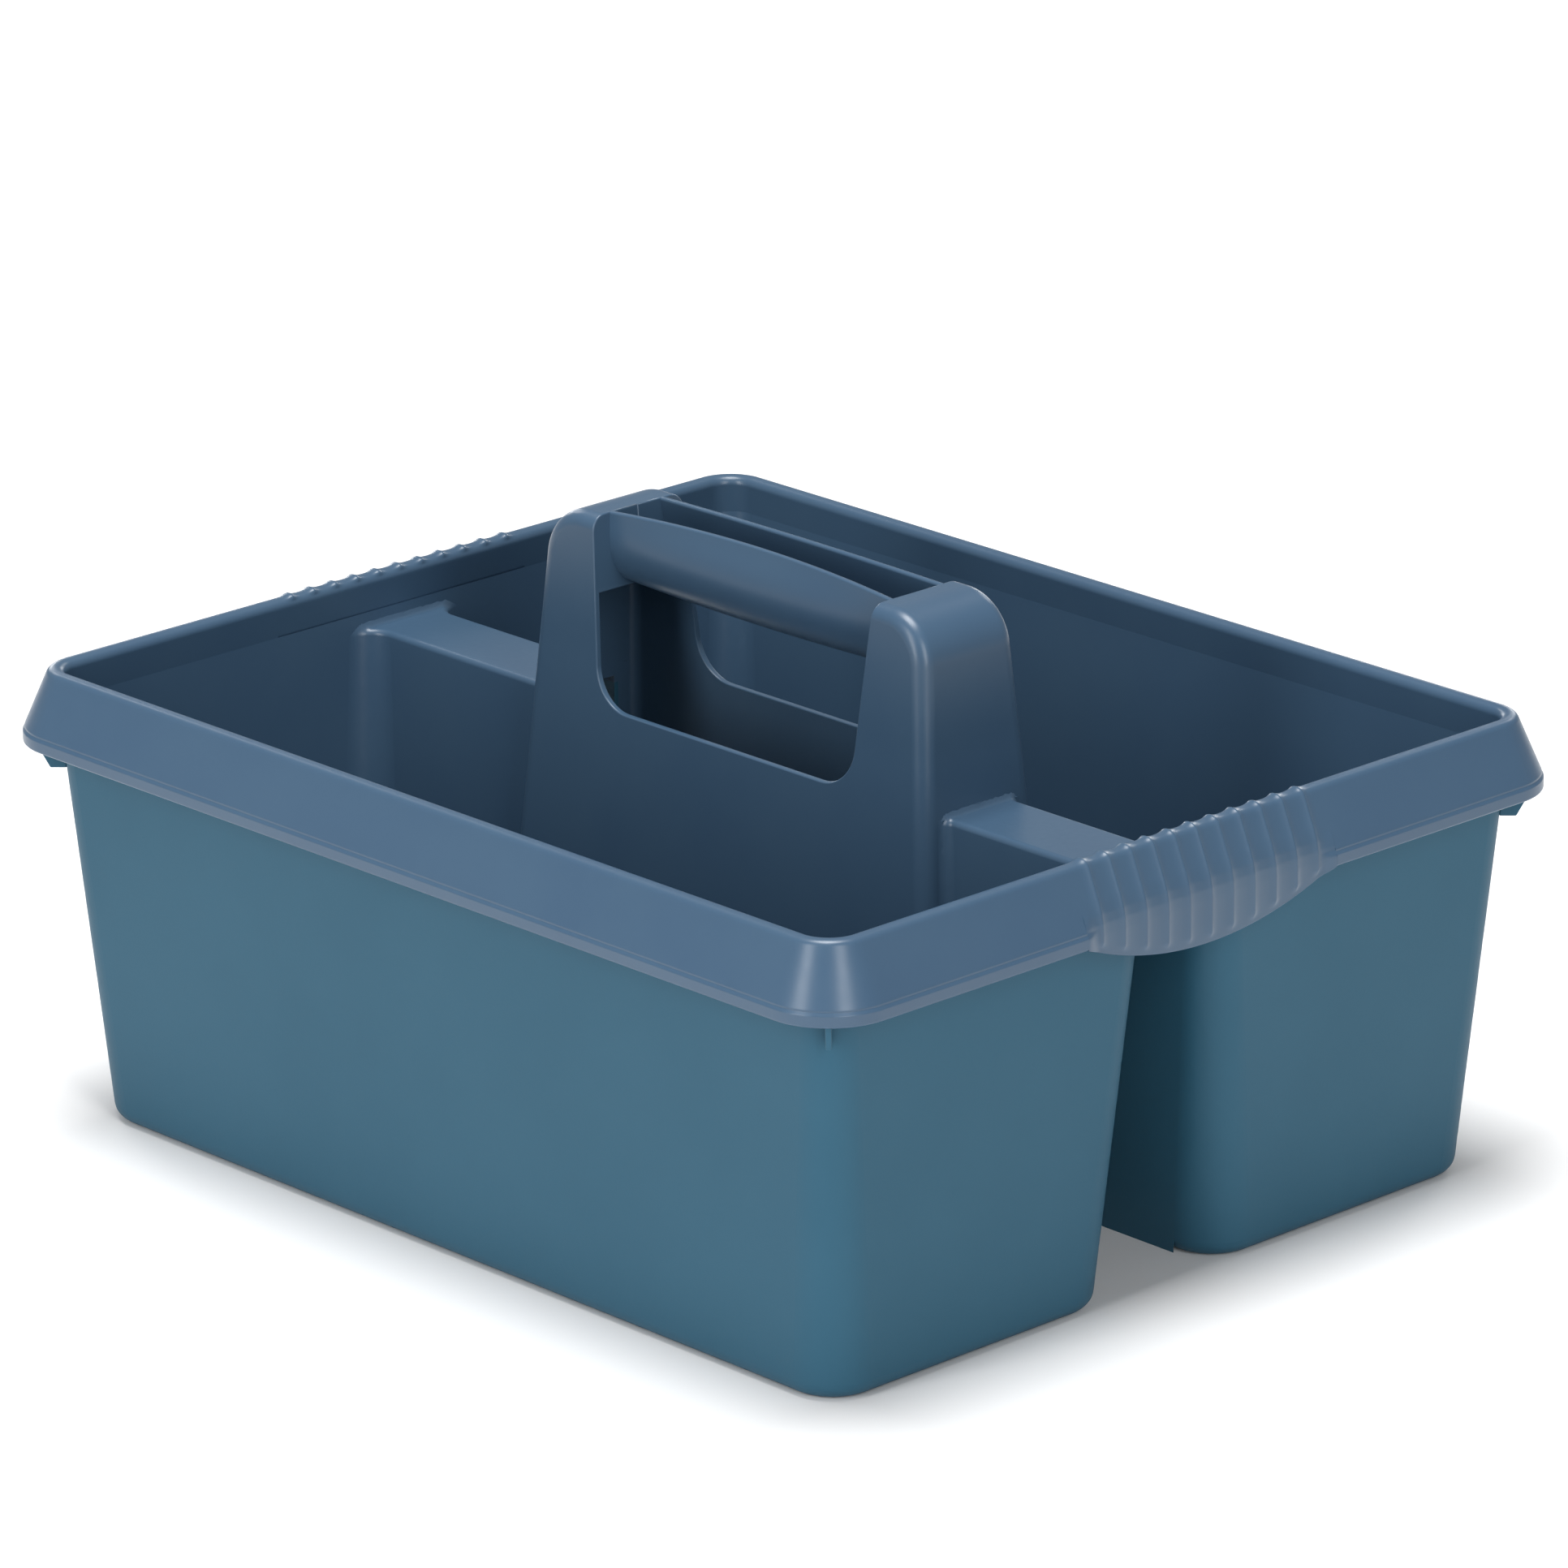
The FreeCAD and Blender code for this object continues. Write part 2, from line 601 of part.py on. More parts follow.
# ---------------------------------------------------------------- side grips
grip_reach = cell("grip_reach")
bend = rim_top - (grip_reach - crown) / cell("apron_slope")
inner_bend = rim_top - (grip_reach - wall + thick - crown) / cell("apron_slope")
grip_bottom = cell("grip_low") - cell("lip_allowance")
belly = cell("grip_belly")
grip_section = outline("grip_section", inner_face + [
    (grip_reach, bend, belly),
    (grip_reach, grip_bottom, SHARP),
    (grip_reach - wall, grip_bottom, SHARP),
    (grip_reach - wall, inner_bend, belly - wall),
    slot_corner], FRONT)
proud = cell("rib_height")
root = cell("rib_root")
rib_bend = bend + proud / 3
rib_section = outline("rib_section", [
    (wall_foot - wall + root, rim_base + roll * 2, SHARP),
    (-roll - proud / 2, rim_top - roll, roll / 2),
    (-roll, rim_top + proud, roll - proud),
    (crown + proud / 2, rim_top + proud, roll + proud),
    (grip_reach + proud, rib_bend, belly + proud),
    (grip_reach + proud, grip_bottom, SHARP),
    (grip_reach - root, grip_bottom, SHARP),
    (grip_reach - root, rib_bend - root, belly),
    (none, rim_top - root * 2, SHARP)], FRONT)
half_chord = grip_half - 1
drop = cell("grip_edge") - cell("grip_low")
scallop = (half_chord * half_chord + drop * drop) / (drop * 2)
steep = math.asin(half_chord.value / scallop.value)
tip = cell("grip_edge") - half_chord * math.tan(steep)
ALMOST_WHOLE = 0.995                  # leaves a short straight at each end of the scallop's arc
scallop_edge = outline("scallop_edge", [
    (-grip_half, cell("grip_edge"), SHARP),
    (-half_chord, cell("grip_edge"), SHARP),
    (0, tip, scallop * ALMOST_WHOLE),
    (half_chord, cell("grip_edge"), SHARP),
    (grip_half, cell("grip_edge"), SHARP),
    (grip_half, FAR_OUT, SHARP),
    (-grip_half, FAR_OUT, SHARP)], SIDE)
scallop_zone = prism("scallop_zone", scallop_edge, ALONG_X, FAR_OUT, 0)
grip_pieces = [rim_run("grip_body", grip_half * 2, 0, roll_x, -grip_half, grip_section)]
for place in range(-RIBS_EACH_SIDE, RIBS_EACH_SIDE + 1):
    start = cell("rib_pitch") * place - cell("rib_width") / 2
    name = f"rib_{place + RIBS_EACH_SIDE}"
    grip_pieces.append(rim_run(name, cell("rib_width"), 0, roll_x, start, rib_section))
right_grip = common("right_grip", fuse("grip_with_ribs", *grip_pieces), scallop_zone)
node("right_grip", right_grip)
left_grip = doc.addObject("Part::Mirroring", "left_grip")
left_grip.Source = right_grip
left_grip.Normal = ALONG_X
node("left_grip", left_grip)

# ---------------------------------------------------------------- corner gussets
body = doc.addObject("PartDesign::Body", "gusset_plate")
plate = body.newObject("Sketcher::SketchObject", "gusset_outline")
plane = next(item for item in body.Origin.OriginFeatures if item.Role == "XZ_Plane")
plate.AttachmentSupport = [(plane, "")]
plate.MapMode = "FlatFace"
low = cell("gusset_low")
outer = cell("rim_corner") + cell("gusset_reach")
shoulder = low + cell("gusset_rise")
spots = [
    (none, low),
    (cell("rim_corner") + cell("gusset_out"), low),
    (outer, shoulder),
    (outer, shoulder + cell("gusset_upright")),
    (cell("rim_corner") + cell("gusset_top"), rim_base),
    (none, rim_base)]
for i, (x, z) in enumerate(spots):
    following = spots[(i + 1) % len(spots)]
    plate.addGeometry(Part.LineSegment(Vector(x.value, z.value, 0),
                                       Vector(following[0].value, following[1].value, 0)), False)
for i, (x, z) in enumerate(spots):
    plate.addConstraint(Sketcher.Constraint("Coincident", (i - 1) % len(spots), 2, i, 1))
    if x.value:
        place = plate.addConstraint(Sketcher.Constraint("DistanceX", -1, 1, i, 1, x.value))
        plate.renameConstraint(place, f"out_{i}")
        plate.setExpression(f"Constraints.out_{i}", x.text)
    else:
        plate.addConstraint(Sketcher.Constraint("PointOnObject", i, 1, -2))
    place = plate.addConstraint(Sketcher.Constraint("DistanceY", -1, 1, i, 1, z.value))
    plate.renameConstraint(place, f"up_{i}")
    plate.setExpression(f"Constraints.up_{i}", z.text)
pad = body.newObject("PartDesign::Pad", "gusset_pad")
pad.Profile = plate
pad.Midplane = True
pad.setExpression("Length", "sheet.gusset_width")

gussets = []
for quarter, angle, x, y in QUARTERS:
    blank = doc.addObject("Part::Compound", "gusset_blank_" + quarter)
    blank.Links = [body]
    blank.Placement = Placement(Vector(x.value, y.value, 0), Rotation(ALONG_Z, angle + QUARTER_TURN / 2))
    blank.setExpression("Placement.Base.x", x.text)
    blank.setExpression("Placement.Base.y", y.text)
    off_wall = cut("gusset_off_wall_" + quarter, blank, rear_outer if "rear" in quarter else bin_outer)
    gussets.append(cut("gusset_" + quarter, off_wall, corners[quarter]))
corner_gussets = doc.addObject("Part::Compound", "corner_gussets")
corner_gussets.Links = gussets
node("corner_gussets", corner_gussets)

# ---------------------------------------------------------------- check and write
doc.recompute()
for item in doc.Objects:
    if "Invalid" in item.State or "Error" in item.State:
        raise RuntimeError(f"{item.Name} did not rebuild: {item.State}")
os.makedirs("parts", exist_ok=True)
for label, item in nodes.items():
    shape = item.Shape
    if shape.isNull() or not shape.isValid() or not shape.Solids:
        raise RuntimeError(f"{label} is not a valid solid")
    shape.exportStep(f"parts/{label}.step")
    print(f"{label}: {len(shape.Solids)} solid(s), {shape.Volume / 1000:.1f} cm3")
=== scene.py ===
# %% [markdown]
# # A cleaning caddy around its CAD frame
# The caddy is one injection moulding in polypropylene: two bins, a channel between them, a
# saddle over each end of the channel, a hollow handle tower with a trough for a grip bar, and
# a rolled rim with two ribbed side grips. The CAD model fixes every size. This scene keeps the
# CAD bins and posts, and remakes the pieces whose edges a mould rounds too finely for the CAD:
# the rim, the grips, the saddles, the plates round the hand window, the trough and the gussets.
# Everything is in metres, in the CAD model's own frame, and each piece stands where its node does.

# %% Load the frame
import math

import bmesh
import bpy
from mathutils import Matrix, Vector


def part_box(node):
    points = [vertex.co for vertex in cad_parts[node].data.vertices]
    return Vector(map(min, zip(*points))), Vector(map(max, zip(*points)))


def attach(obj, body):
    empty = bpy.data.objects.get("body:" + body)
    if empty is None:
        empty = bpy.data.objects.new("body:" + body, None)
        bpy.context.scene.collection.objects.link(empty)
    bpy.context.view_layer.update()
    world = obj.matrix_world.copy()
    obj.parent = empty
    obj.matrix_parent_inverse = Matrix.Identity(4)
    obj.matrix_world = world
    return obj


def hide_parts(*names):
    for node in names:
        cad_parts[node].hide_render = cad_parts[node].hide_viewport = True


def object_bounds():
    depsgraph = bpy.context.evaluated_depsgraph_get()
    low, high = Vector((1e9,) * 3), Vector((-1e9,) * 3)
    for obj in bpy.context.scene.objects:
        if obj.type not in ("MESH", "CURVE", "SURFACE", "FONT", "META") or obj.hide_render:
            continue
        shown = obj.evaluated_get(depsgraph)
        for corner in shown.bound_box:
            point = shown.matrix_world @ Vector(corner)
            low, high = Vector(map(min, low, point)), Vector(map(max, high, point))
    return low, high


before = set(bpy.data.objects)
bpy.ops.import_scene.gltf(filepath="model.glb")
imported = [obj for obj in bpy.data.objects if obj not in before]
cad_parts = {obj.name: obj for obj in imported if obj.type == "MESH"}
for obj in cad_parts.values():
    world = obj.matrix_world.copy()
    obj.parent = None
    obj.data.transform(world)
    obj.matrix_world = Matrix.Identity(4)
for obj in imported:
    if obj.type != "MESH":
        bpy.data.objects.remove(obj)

cad_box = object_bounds()
MM = 0.001
BODY = "root"
scene = bpy.context.scene
print("CAD nodes:", len(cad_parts), "box:", [round(v / MM, 1) for corner in cad_box for v in corner])

# %% [markdown]
# ## Two small helpers
# Colours are easiest to judge as sRGB hex values, but a shader works on linear light, so one
# function turns the first into the second. The other adds one node to any node tree, sets its
# properties and fills or links its inputs. Both shader trees and Geometry Nodes trees use it.


# %% Colour and node helpers
def linear(code):
    """An sRGB hex colour as the linear RGBA that shaders work in."""
    channels = [int(code[i:i + 2], 16) / 255 for i in (1, 3, 5)]
    return (*(c / 12.92 if c <= 0.04045 else ((c + 0.055) / 1.055) ** 2.4 for c in channels), 1.0)


def add(tree, kind, inputs=None, **settings):
    """Adds a node, sets its properties, and fills or links its inputs by name or number."""
    node = tree.nodes.new(kind)
    for name, value in settings.items():
        setattr(node, name, value)
    for key, value in (inputs or {}).items():
        if isinstance(value, bpy.types.NodeSocket):
            tree.links.new(value, node.inputs[key])
        else:
            node.inputs[key].default_value = value
    return node


print("mid blue in linear light:", [round(c, 3) for c in linear("#2f465c")])

# %% [markdown]
# ## The camera
# A long lens from far away keeps the sides of a box nearly parallel, as catalogue pictures do.
# The view is set by where the camera stands: an azimuth round the caddy, an elevation above the
# floor and a distance. Its three axes make the columns of its matrix, with a slight roll.

# %% Camera
AZIMUTH = math.radians(46.66)
ELEVATION = math.radians(19.02)
ROLL = math.radians(-0.397)
DISTANCE = 3.0216
LENS = 210.3
SENSOR = 36
LOOK_AT = Vector((0, 0, 0.09908))
OFF_CENTRE = (0.00228, 0.02528)

away = Vector((math.sin(AZIMUTH) * math.cos(ELEVATION),
               -math.cos(AZIMUTH) * math.cos(ELEVATION),
               math.sin(ELEVATION)))
level_right = Vector((math.cos(AZIMUTH), math.sin(AZIMUTH), 0))
level_up = away.cross(level_right)
camera_right = level_right * math.cos(ROLL) + level_up * math.sin(ROLL)
camera_up = level_up * math.cos(ROLL) - level_right * math.sin(ROLL)

camera = bpy.data.objects.new("camera", bpy.data.cameras.new("camera"))
camera.data.lens = LENS
camera.data.sensor_width = SENSOR
camera.matrix_world = Matrix((camera_right, camera_up, away)).transposed().to_4x4()
camera.location = (LOOK_AT + away * DISTANCE
                   + camera_right * OFF_CENTRE[0] + camera_up * OFF_CENTRE[1])
scene.collection.objects.link(camera)
scene.camera = camera
print("camera stands at", [round(v, 3) for v in camera.location])

# %% [markdown]
# ## Moulded polypropylene
# Polypropylene is waxy and slightly soft to the eye: an even pigment under a satin skin, with an
# IOR near 1.49. What changes over a moulding is the tool's surface. Outside, the steel was
# spark-eroded, which leaves a fine grain that scatters light. The rim, the tower and the inside
# were only stoned smooth, so they carry soft reflections. The two finishes are also given two
# tints of the same polymer, greener outside and bluer on the rim, tower and insides; that
# difference is painted light, standing in for the light that falls on the outer walls and on the
# rest. Each finish is a short list of values, and one function turns it into nodes: slow colour
# drift where the melt flowed, a little unevenness in the gloss, and a fine relief.
# The grain's pits also swallow part of the reflection, so the grained finish has less specular.

# %% The finishes
# The two colours of each finish carry painted light: the greener grained tint and the bluer stoned tint
# stand in for how light falls on the walls and on the rim and insides.
STONED = {"tint_with_painted_light": "#3b546c", "drifted_tint_with_painted_light": "#3e576e", "roughness": 0.32, "spread": 0.05,
          "specular": 0.5, "grain_mm": 2.4, "relief": 0.10}
GRAINED = {"tint_with_painted_light": "#2c566b", "drifted_tint_with_painted_light": "#2e586d", "roughness": 0.50, "spread": 0.04,
           "specular": 0.2, "grain_mm": 0.8, "relief": 0.32}
FLOW_MM = 45
FLOW_LOW, FLOW_HIGH = 0.35, 0.65
PLASTIC_IOR = 1.49
RELIEF_DISTANCE = 0.06 * MM


def span(size_mm):
    """The scale that a noise needs for features of that many millimetres."""
    return 1 / (size_mm * MM)


def skin(tree, place, finish):
    """The colour, roughness and height of a finish, as sockets; the colour holds its painted light tint."""
    flow = add(tree, "ShaderNodeTexNoise", {"Vector": place, "Scale": span(FLOW_MM), "Detail": 4.0})
    drift = add(tree, "ShaderNodeMapRange", {"Value": flow.outputs["Fac"], "From Min": FLOW_LOW,
                                             "From Max": FLOW_HIGH}).outputs[0]
    colour = add(tree, "ShaderNodeMix", {"Factor": drift, 6: linear(finish["tint_with_painted_light"]),
                                         7: linear(finish["drifted_tint_with_painted_light"])}, data_type="RGBA").outputs[2]
    # A tool's grain is some 0.3 mm across; it is drawn wider, so that it shows from this far.
    grain = add(tree, "ShaderNodeTexNoise", {"Vector": place, "Scale": span(finish["grain_mm"]),
                                             "Detail": 2.0})
    gloss = add(tree, "ShaderNodeMapRange", {
        "Value": grain.outputs["Fac"], "To Min": finish["roughness"] - finish["spread"],
        "To Max": finish["roughness"] + finish["spread"]}).outputs[0]
    height = add(tree, "ShaderNodeMath", {0: grain.outputs["Fac"], 1: finish["relief"]},
                 operation="MULTIPLY").outputs[0]
    return colour, gloss, height


def plastic(name, finish, outer=None, outside=None):
    """Moulded plastic in one finish, or in two where outside() gives a mask for the outer one."""
    material = bpy.data.materials.new(name)
    material.use_nodes = True
    tree = material.node_tree
    shader = tree.nodes["Principled BSDF"]
    place = add(tree, "ShaderNodeTexCoord").outputs["Object"]
    colour, gloss, height = skin(tree, place, finish)
    shader.inputs["Specular IOR Level"].default_value = finish["specular"]
    if outer:
        mask = outside(tree, place)
        outer_colour, outer_gloss, outer_height = skin(tree, place, outer)
        # Where the mask is 1, the outer tint replaces the inner one; the step in colour between them is
        # painted light.
        colour = add(tree, "ShaderNodeMix", {"Factor": mask, 6: colour, 7: outer_colour},
                     data_type="RGBA").outputs[2]
        gloss = add(tree, "ShaderNodeMix", {"Factor": mask, 2: gloss, 3: outer_gloss}).outputs[0]
        height = add(tree, "ShaderNodeMix", {"Factor": mask, 2: height, 3: outer_height}).outputs[0]
        level = add(tree, "ShaderNodeMix", {"Factor": mask, 2: finish["specular"],
                                            3: outer["specular"]}).outputs[0]
        tree.links.new(level, shader.inputs["Specular IOR Level"])
    bump = add(tree, "ShaderNodeBump", {"Height": height, "Distance": RELIEF_DISTANCE})
    tree.links.new(colour, shader.inputs["Base Color"])
    tree.links.new(gloss, shader.inputs["Roughness"])
    tree.links.new(bump.outputs[0], shader.inputs["Normal"])
    shader.inputs["IOR"].default_value = PLASTIC_IOR
    return material


# %% [markdown]
# ## Where a bin is grained
# A bin's CAD solid holds its grained outside and its smooth inside in one mesh, so the material
# has to tell them apart by place; the same mask also parts the two tints, and with them the
# painted light. In plan each bin is a rounded rectangle that grows with height.
# The depth below that outline is nought on the outer skin and a wall's thickness on the inner
# one, so a threshold most of the way through the wall parts the two finishes.

# %% The bins' material
WALL = 2.2
END_AT_FLOOR = 179.0
FACE_AT_FLOOR = 147.2
DRAFT = 0.0621
CHANNEL_AT_FLOOR = 22.4
CHANNEL_DRAFT = 0.070
CORNER_AT_FLOOR = 17.5
CORNER_AT_RIM = 11.8
RIM_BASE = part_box("front_bin")[1].z / MM
CORNER_SHRINK = (CORNER_AT_FLOOR - CORNER_AT_RIM) / RIM_BASE
THROUGH_WALL = 0.8 * WALL
FAR_UP = 1.0


def outside_bins(tree, place):
    """1 on the outer skin of a bin and 0 on its inner skin."""
    level = add(tree, "ShaderNodeSeparateXYZ", {0: place}).outputs[2]
    level = add(tree, "ShaderNodeCombineXYZ", {0: level, 1: level, 2: level}).outputs[0]
    middle = add(tree, "ShaderNodeVectorMath", {
        0: level, 1: (0, (DRAFT - CHANNEL_DRAFT) / 2, 0),
        2: (0, (FACE_AT_FLOOR + CHANNEL_AT_FLOOR) / 2 * MM, 0)}, operation="MULTIPLY_ADD").outputs[0]
    either_side = add(tree, "ShaderNodeVectorMath", {0: place}, operation="ABSOLUTE").outputs[0]
    across = add(tree, "ShaderNodeVectorMath", {0: either_side, 1: middle},
                 operation="SUBTRACT").outputs[0]
    across = add(tree, "ShaderNodeVectorMath", {0: across}, operation="ABSOLUTE").outputs[0]
    # Half the size of the rectangle that joins the centres of the four corner rounds.
    frame_of_centres = add(tree, "ShaderNodeVectorMath", {
        0: level, 1: (DRAFT + CORNER_SHRINK, (DRAFT + CHANNEL_DRAFT) / 2 + CORNER_SHRINK, 0),
        2: ((END_AT_FLOOR - CORNER_AT_FLOOR) * MM,
            ((FACE_AT_FLOOR - CHANNEL_AT_FLOOR) / 2 - CORNER_AT_FLOOR) * MM, FAR_UP)},
        operation="MULTIPLY_ADD").outputs[0]
    past = add(tree, "ShaderNodeVectorMath", {0: across, 1: frame_of_centres},
               operation="SUBTRACT").outputs[0]
    past = add(tree, "ShaderNodeVectorMath", {0: past, 1: (0, 0, 0)}, operation="MAXIMUM").outputs[0]
    reach = add(tree, "ShaderNodeVectorMath", {0: past}, operation="LENGTH").outputs["Value"]
    height = add(tree, "ShaderNodeSeparateXYZ", {0: place}).outputs[2]
    inner_radius = add(tree, "ShaderNodeMath", {
        0: height, 1: -CORNER_SHRINK, 2: (CORNER_AT_FLOOR - THROUGH_WALL) * MM},
        operation="MULTIPLY_ADD").outputs[0]
    on_wall = add(tree, "ShaderNodeMath", {0: reach, 1: inner_radius},
                  operation="GREATER_THAN").outputs[0]
    on_base = add(tree, "ShaderNodeMath", {0: height, 1: THROUGH_WALL * MM},
                  operation="LESS_THAN").outputs[0]
    return add(tree, "ShaderNodeMath", {0: on_wall, 1: on_base}, operation="MAXIMUM").outputs[0]


stoned = plastic("polypropylene_stoned", STONED)
grained = plastic("polypropylene_grained", GRAINED)
grained_outside = plastic("polypropylene_grained_outside", STONED, GRAINED, outside_bins)
for name, cad_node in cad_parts.items():
    cad_node.data.materials.clear()
    cad_node.data.materials.append(grained_outside if name.endswith("_bin") else stoned)
print("materials:", stoned.name, grained.name, grained_outside.name)

# %% [markdown]
# ## Drawing sections
# A moulded edge is never sharp, and most of what the eye reads on plastic is the light along its
# rounds. So sections are drawn the way a draughtsman draws them: a few corners, each with its
# radius, and a function fills every corner with an arc of short steps.

# %% Sections
ARC_STEP = math.radians(7)


def rounded(corners, arc_steps=None):
    """A closed outline from (x, y, radius) corners, with an arc at each rounded one."""
    points = []
    for i, (x, y, radius) in enumerate(corners):
        at = Vector((x, y))
        if not radius:
            points.append(at)
            continue
        back = (Vector(corners[i - 1][:2]) - at).normalized()
        ahead = (Vector(corners[(i + 1) % len(corners)][:2]) - at).normalized()
        half = back.angle(ahead) / 2
        centre = at + (back + ahead).normalized() * radius / math.sin(half)
        first = at + back * radius / math.tan(half) - centre
        last = at + ahead * radius / math.tan(half) - centre
        turn = math.atan2(first.x * last.y - first.y * last.x, first.dot(last))
        steps = arc_steps or max(2, round(abs(turn) / ARC_STEP))
        for k in range(steps + 1):
            points.append(centre + Matrix.Rotation(turn * k / steps, 2) @ first)
    return points


square = rounded([(0, 0, 2), (10, 0, 2), (10, 10, 2), (0, 10, 2)])
print("a 10 mm square with 2 mm corners becomes", len(square), "points")

# %% [markdown]
# ## Finishing a piece
# Every remade piece ends the same way. Its modifiers are turned into plain mesh, its shading is
# set, and it is handed to the frame: it rides on the caddy and stands for its CAD nodes. Beside a
# small round, a big flat face should still shade flat. Weighted normals do that: each corner's
# normal follows the larger faces, and only the round bends it.


# %% Pieces
CREASE = math.radians(35)


def new_piece(name, mesh, material=stoned):
    """Puts a mesh in the scene as a piece of the caddy."""
    piece = bpy.data.objects.new(name, mesh)
    scene.collection.objects.link(piece)
    mesh.materials.clear()
    mesh.materials.append(material)
    return piece


def to_piece(name, shape, material=stoned):
    """A piece from a bmesh, with its faces outward and its creases marked."""
    bmesh.ops.recalc_face_normals(shape, faces=shape.faces)
    for edge in shape.edges:
        if len(edge.link_faces) == 2 and edge.calc_face_angle() > CREASE:
            edge.smooth = False
    mesh = bpy.data.meshes.new(name)
    shape.to_mesh(mesh)
    shape.free()
    return new_piece(name, mesh, material)


def apply_modifiers(piece):
    """Turns the piece's modifiers into plain mesh."""
    shown = piece.evaluated_get(bpy.context.evaluated_depsgraph_get())
    mesh = bpy.data.meshes.new_from_object(shown)
    mesh.name = piece.name
    piece.modifiers.clear()
    piece.data = mesh


def hand_over(piece, *nodes):
    """Shades the piece, sets it on the caddy and lets it stand for its CAD nodes."""
    for polygon in piece.data.polygons:
        polygon.use_smooth = True
    weighting = piece.modifiers.new("flats_stay_flat", "WEIGHTED_NORMAL")
    weighting.keep_sharp = True
    apply_modifiers(piece)
    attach(piece, BODY)
    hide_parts(*nodes)
    print(piece.name, "has", len(piece.data.polygons), "faces and stands for", ", ".join(nodes))


# %% [markdown]
# ## The rolled rim
# The rim is one profile taken round a rounded rectangle: it rises from the wall, rolls over in a
# small round, falls outward as an apron and ends in a thicker hem. These are the numbers of that
# profile. Across, they are measured outward from the middle of the roll, and up from the floor.

# %% Section of the rim
RIM_TOP = 158.8
ROLL_RADIUS = 3.0
ROLL_FLAT = 0.6
RIM_CORNER = 12.0
APRON_SLOPE = 0.4327
APRON_FOOT = 140.9
APRON_END = 139.2
HEM_REACH = 11.75
HEM_HIGH = 138.6
HEM_STEP = 1.0
APRON_ROUND = 1.0
STEP_ROUND = 0.3
HEM_TOP_ROUND = 0.7
HEM_LOW_ROUND = 0.9
HEM_INNER_ROUND = 0.5
APRON_INNER_ROUND = 1.2
HEM_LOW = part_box("front_rim")[0].z / MM
ROLL_X = cad_box[1].x / MM - HEM_REACH
ROLL_Y = cad_box[1].y / MM - HEM_REACH
SLOT_TOP = RIM_TOP - WALL - ROLL_FLAT
LEAN = math.atan(APRON_SLOPE)
CROWN = ROLL_RADIUS * math.tan((math.pi / 2 - LEAN) / 2) + ROLL_FLAT
APRON_THICK = WALL / math.cos(LEAN)


def apron(level):
    """How far out the apron's outer face is at a height."""
    return CROWN + APRON_SLOPE * (RIM_TOP - level)


def wall_face(level):
    """How far out the bins' outer wall is at a height."""
    return END_AT_FLOOR + DRAFT * level - ROLL_X


over_the_roll = [
    (wall_face(SLOT_TOP), SLOT_TOP, 0), (wall_face(RIM_BASE), RIM_BASE, 0),
    (wall_face(RIM_BASE) - WALL, RIM_BASE, 0), (-ROLL_RADIUS, RIM_TOP, ROLL_RADIUS),
    (CROWN, RIM_TOP, ROLL_RADIUS)]
slot_corner = (apron(SLOT_TOP) - APRON_THICK, SLOT_TOP, 0)
hem_inner = apron(APRON_FOOT) - APRON_THICK
hem_face = apron(APRON_END)
rim_section = rounded(over_the_roll + [
    (hem_face, APRON_END, APRON_ROUND), (hem_face, HEM_HIGH, STEP_ROUND),
    (HEM_REACH, HEM_HIGH - HEM_STEP, HEM_TOP_ROUND), (HEM_REACH, HEM_LOW, HEM_LOW_ROUND),
    (hem_inner + HEM_STEP, HEM_LOW, HEM_INNER_ROUND),
    (hem_inner, APRON_FOOT - HEM_STEP, APRON_INNER_ROUND), slot_corner])
print("the rim's section has", len(rim_section), "points, from", HEM_LOW, "to", RIM_TOP, "mm")

# %% [markdown]
# ## Sweeping a section with Geometry Nodes
# Curve to Mesh carries a profile along a path. The path here is made in the tree, from named
# sizes, and the profile comes in as an object: a loop of edges in a mesh, turned to a curve.
# Seen along the path, Curve to Mesh lays the profile's Y downwards, so heights are drawn negative.


# %% Tools for the trees
def new_tree(name, inputs):
    """A Geometry Nodes tree with named inputs; returns it, their sockets and their identifiers."""
    tree = bpy.data.node_groups.new(name, "GeometryNodeTree")
    identifiers = {}
    for label, kind in inputs.items():
        socket = tree.interface.new_socket(label, in_out="INPUT", socket_type="NodeSocket" + kind)
        identifiers[label] = socket.identifier
    tree.interface.new_socket("Mesh", in_out="OUTPUT", socket_type="NodeSocketGeometry")
    return tree, tree.nodes.new("NodeGroupInput").outputs, identifiers


def sweep(tree, path, section, caps):
    """The mesh of a section object carried along a path."""
    drawn = add(tree, "GeometryNodeObjectInfo", {"Object": section}).outputs["Geometry"]
    profile = add(tree, "GeometryNodeMeshToCurve", {"Mesh": drawn}).outputs[0]
    return add(tree, "GeometryNodeCurveToMesh", {"Curve": path, "Profile Curve": profile,
                                                 "Fill Caps": caps}).outputs[0]


def end_tree(tree, mesh, material):
    """Makes the mesh real, gives it its material and sends it out."""
    real = add(tree, "GeometryNodeRealizeInstances", {0: mesh}).outputs[0]
    coated = add(tree, "GeometryNodeSetMaterial", {"Geometry": real, "Material": material}).outputs[0]
    add(tree, "NodeGroupOutput", {0: coated})


def grow(name, tree, identifiers, values):
    """A piece made by a tree with these input values, as plain mesh."""
    piece = new_piece(name, bpy.data.meshes.new(name))
    modifier = piece.modifiers.new(tree.name, "NODES")
    modifier.node_group = tree
    for label, value in values.items():
        modifier[identifiers[label]] = value
    apply_modifiers(piece)
    return piece


def section_object(name, points):
    """A section as a closed loop of edges, in metres, for a tree to read."""
    mesh = bpy.data.meshes.new(name)
    loop = [(i, (i + 1) % len(points)) for i in range(len(points))]
    mesh.from_pydata([(x * MM, -y * MM, 0) for x, y in points], loop, [])
    return bpy.data.objects.new(name, mesh)


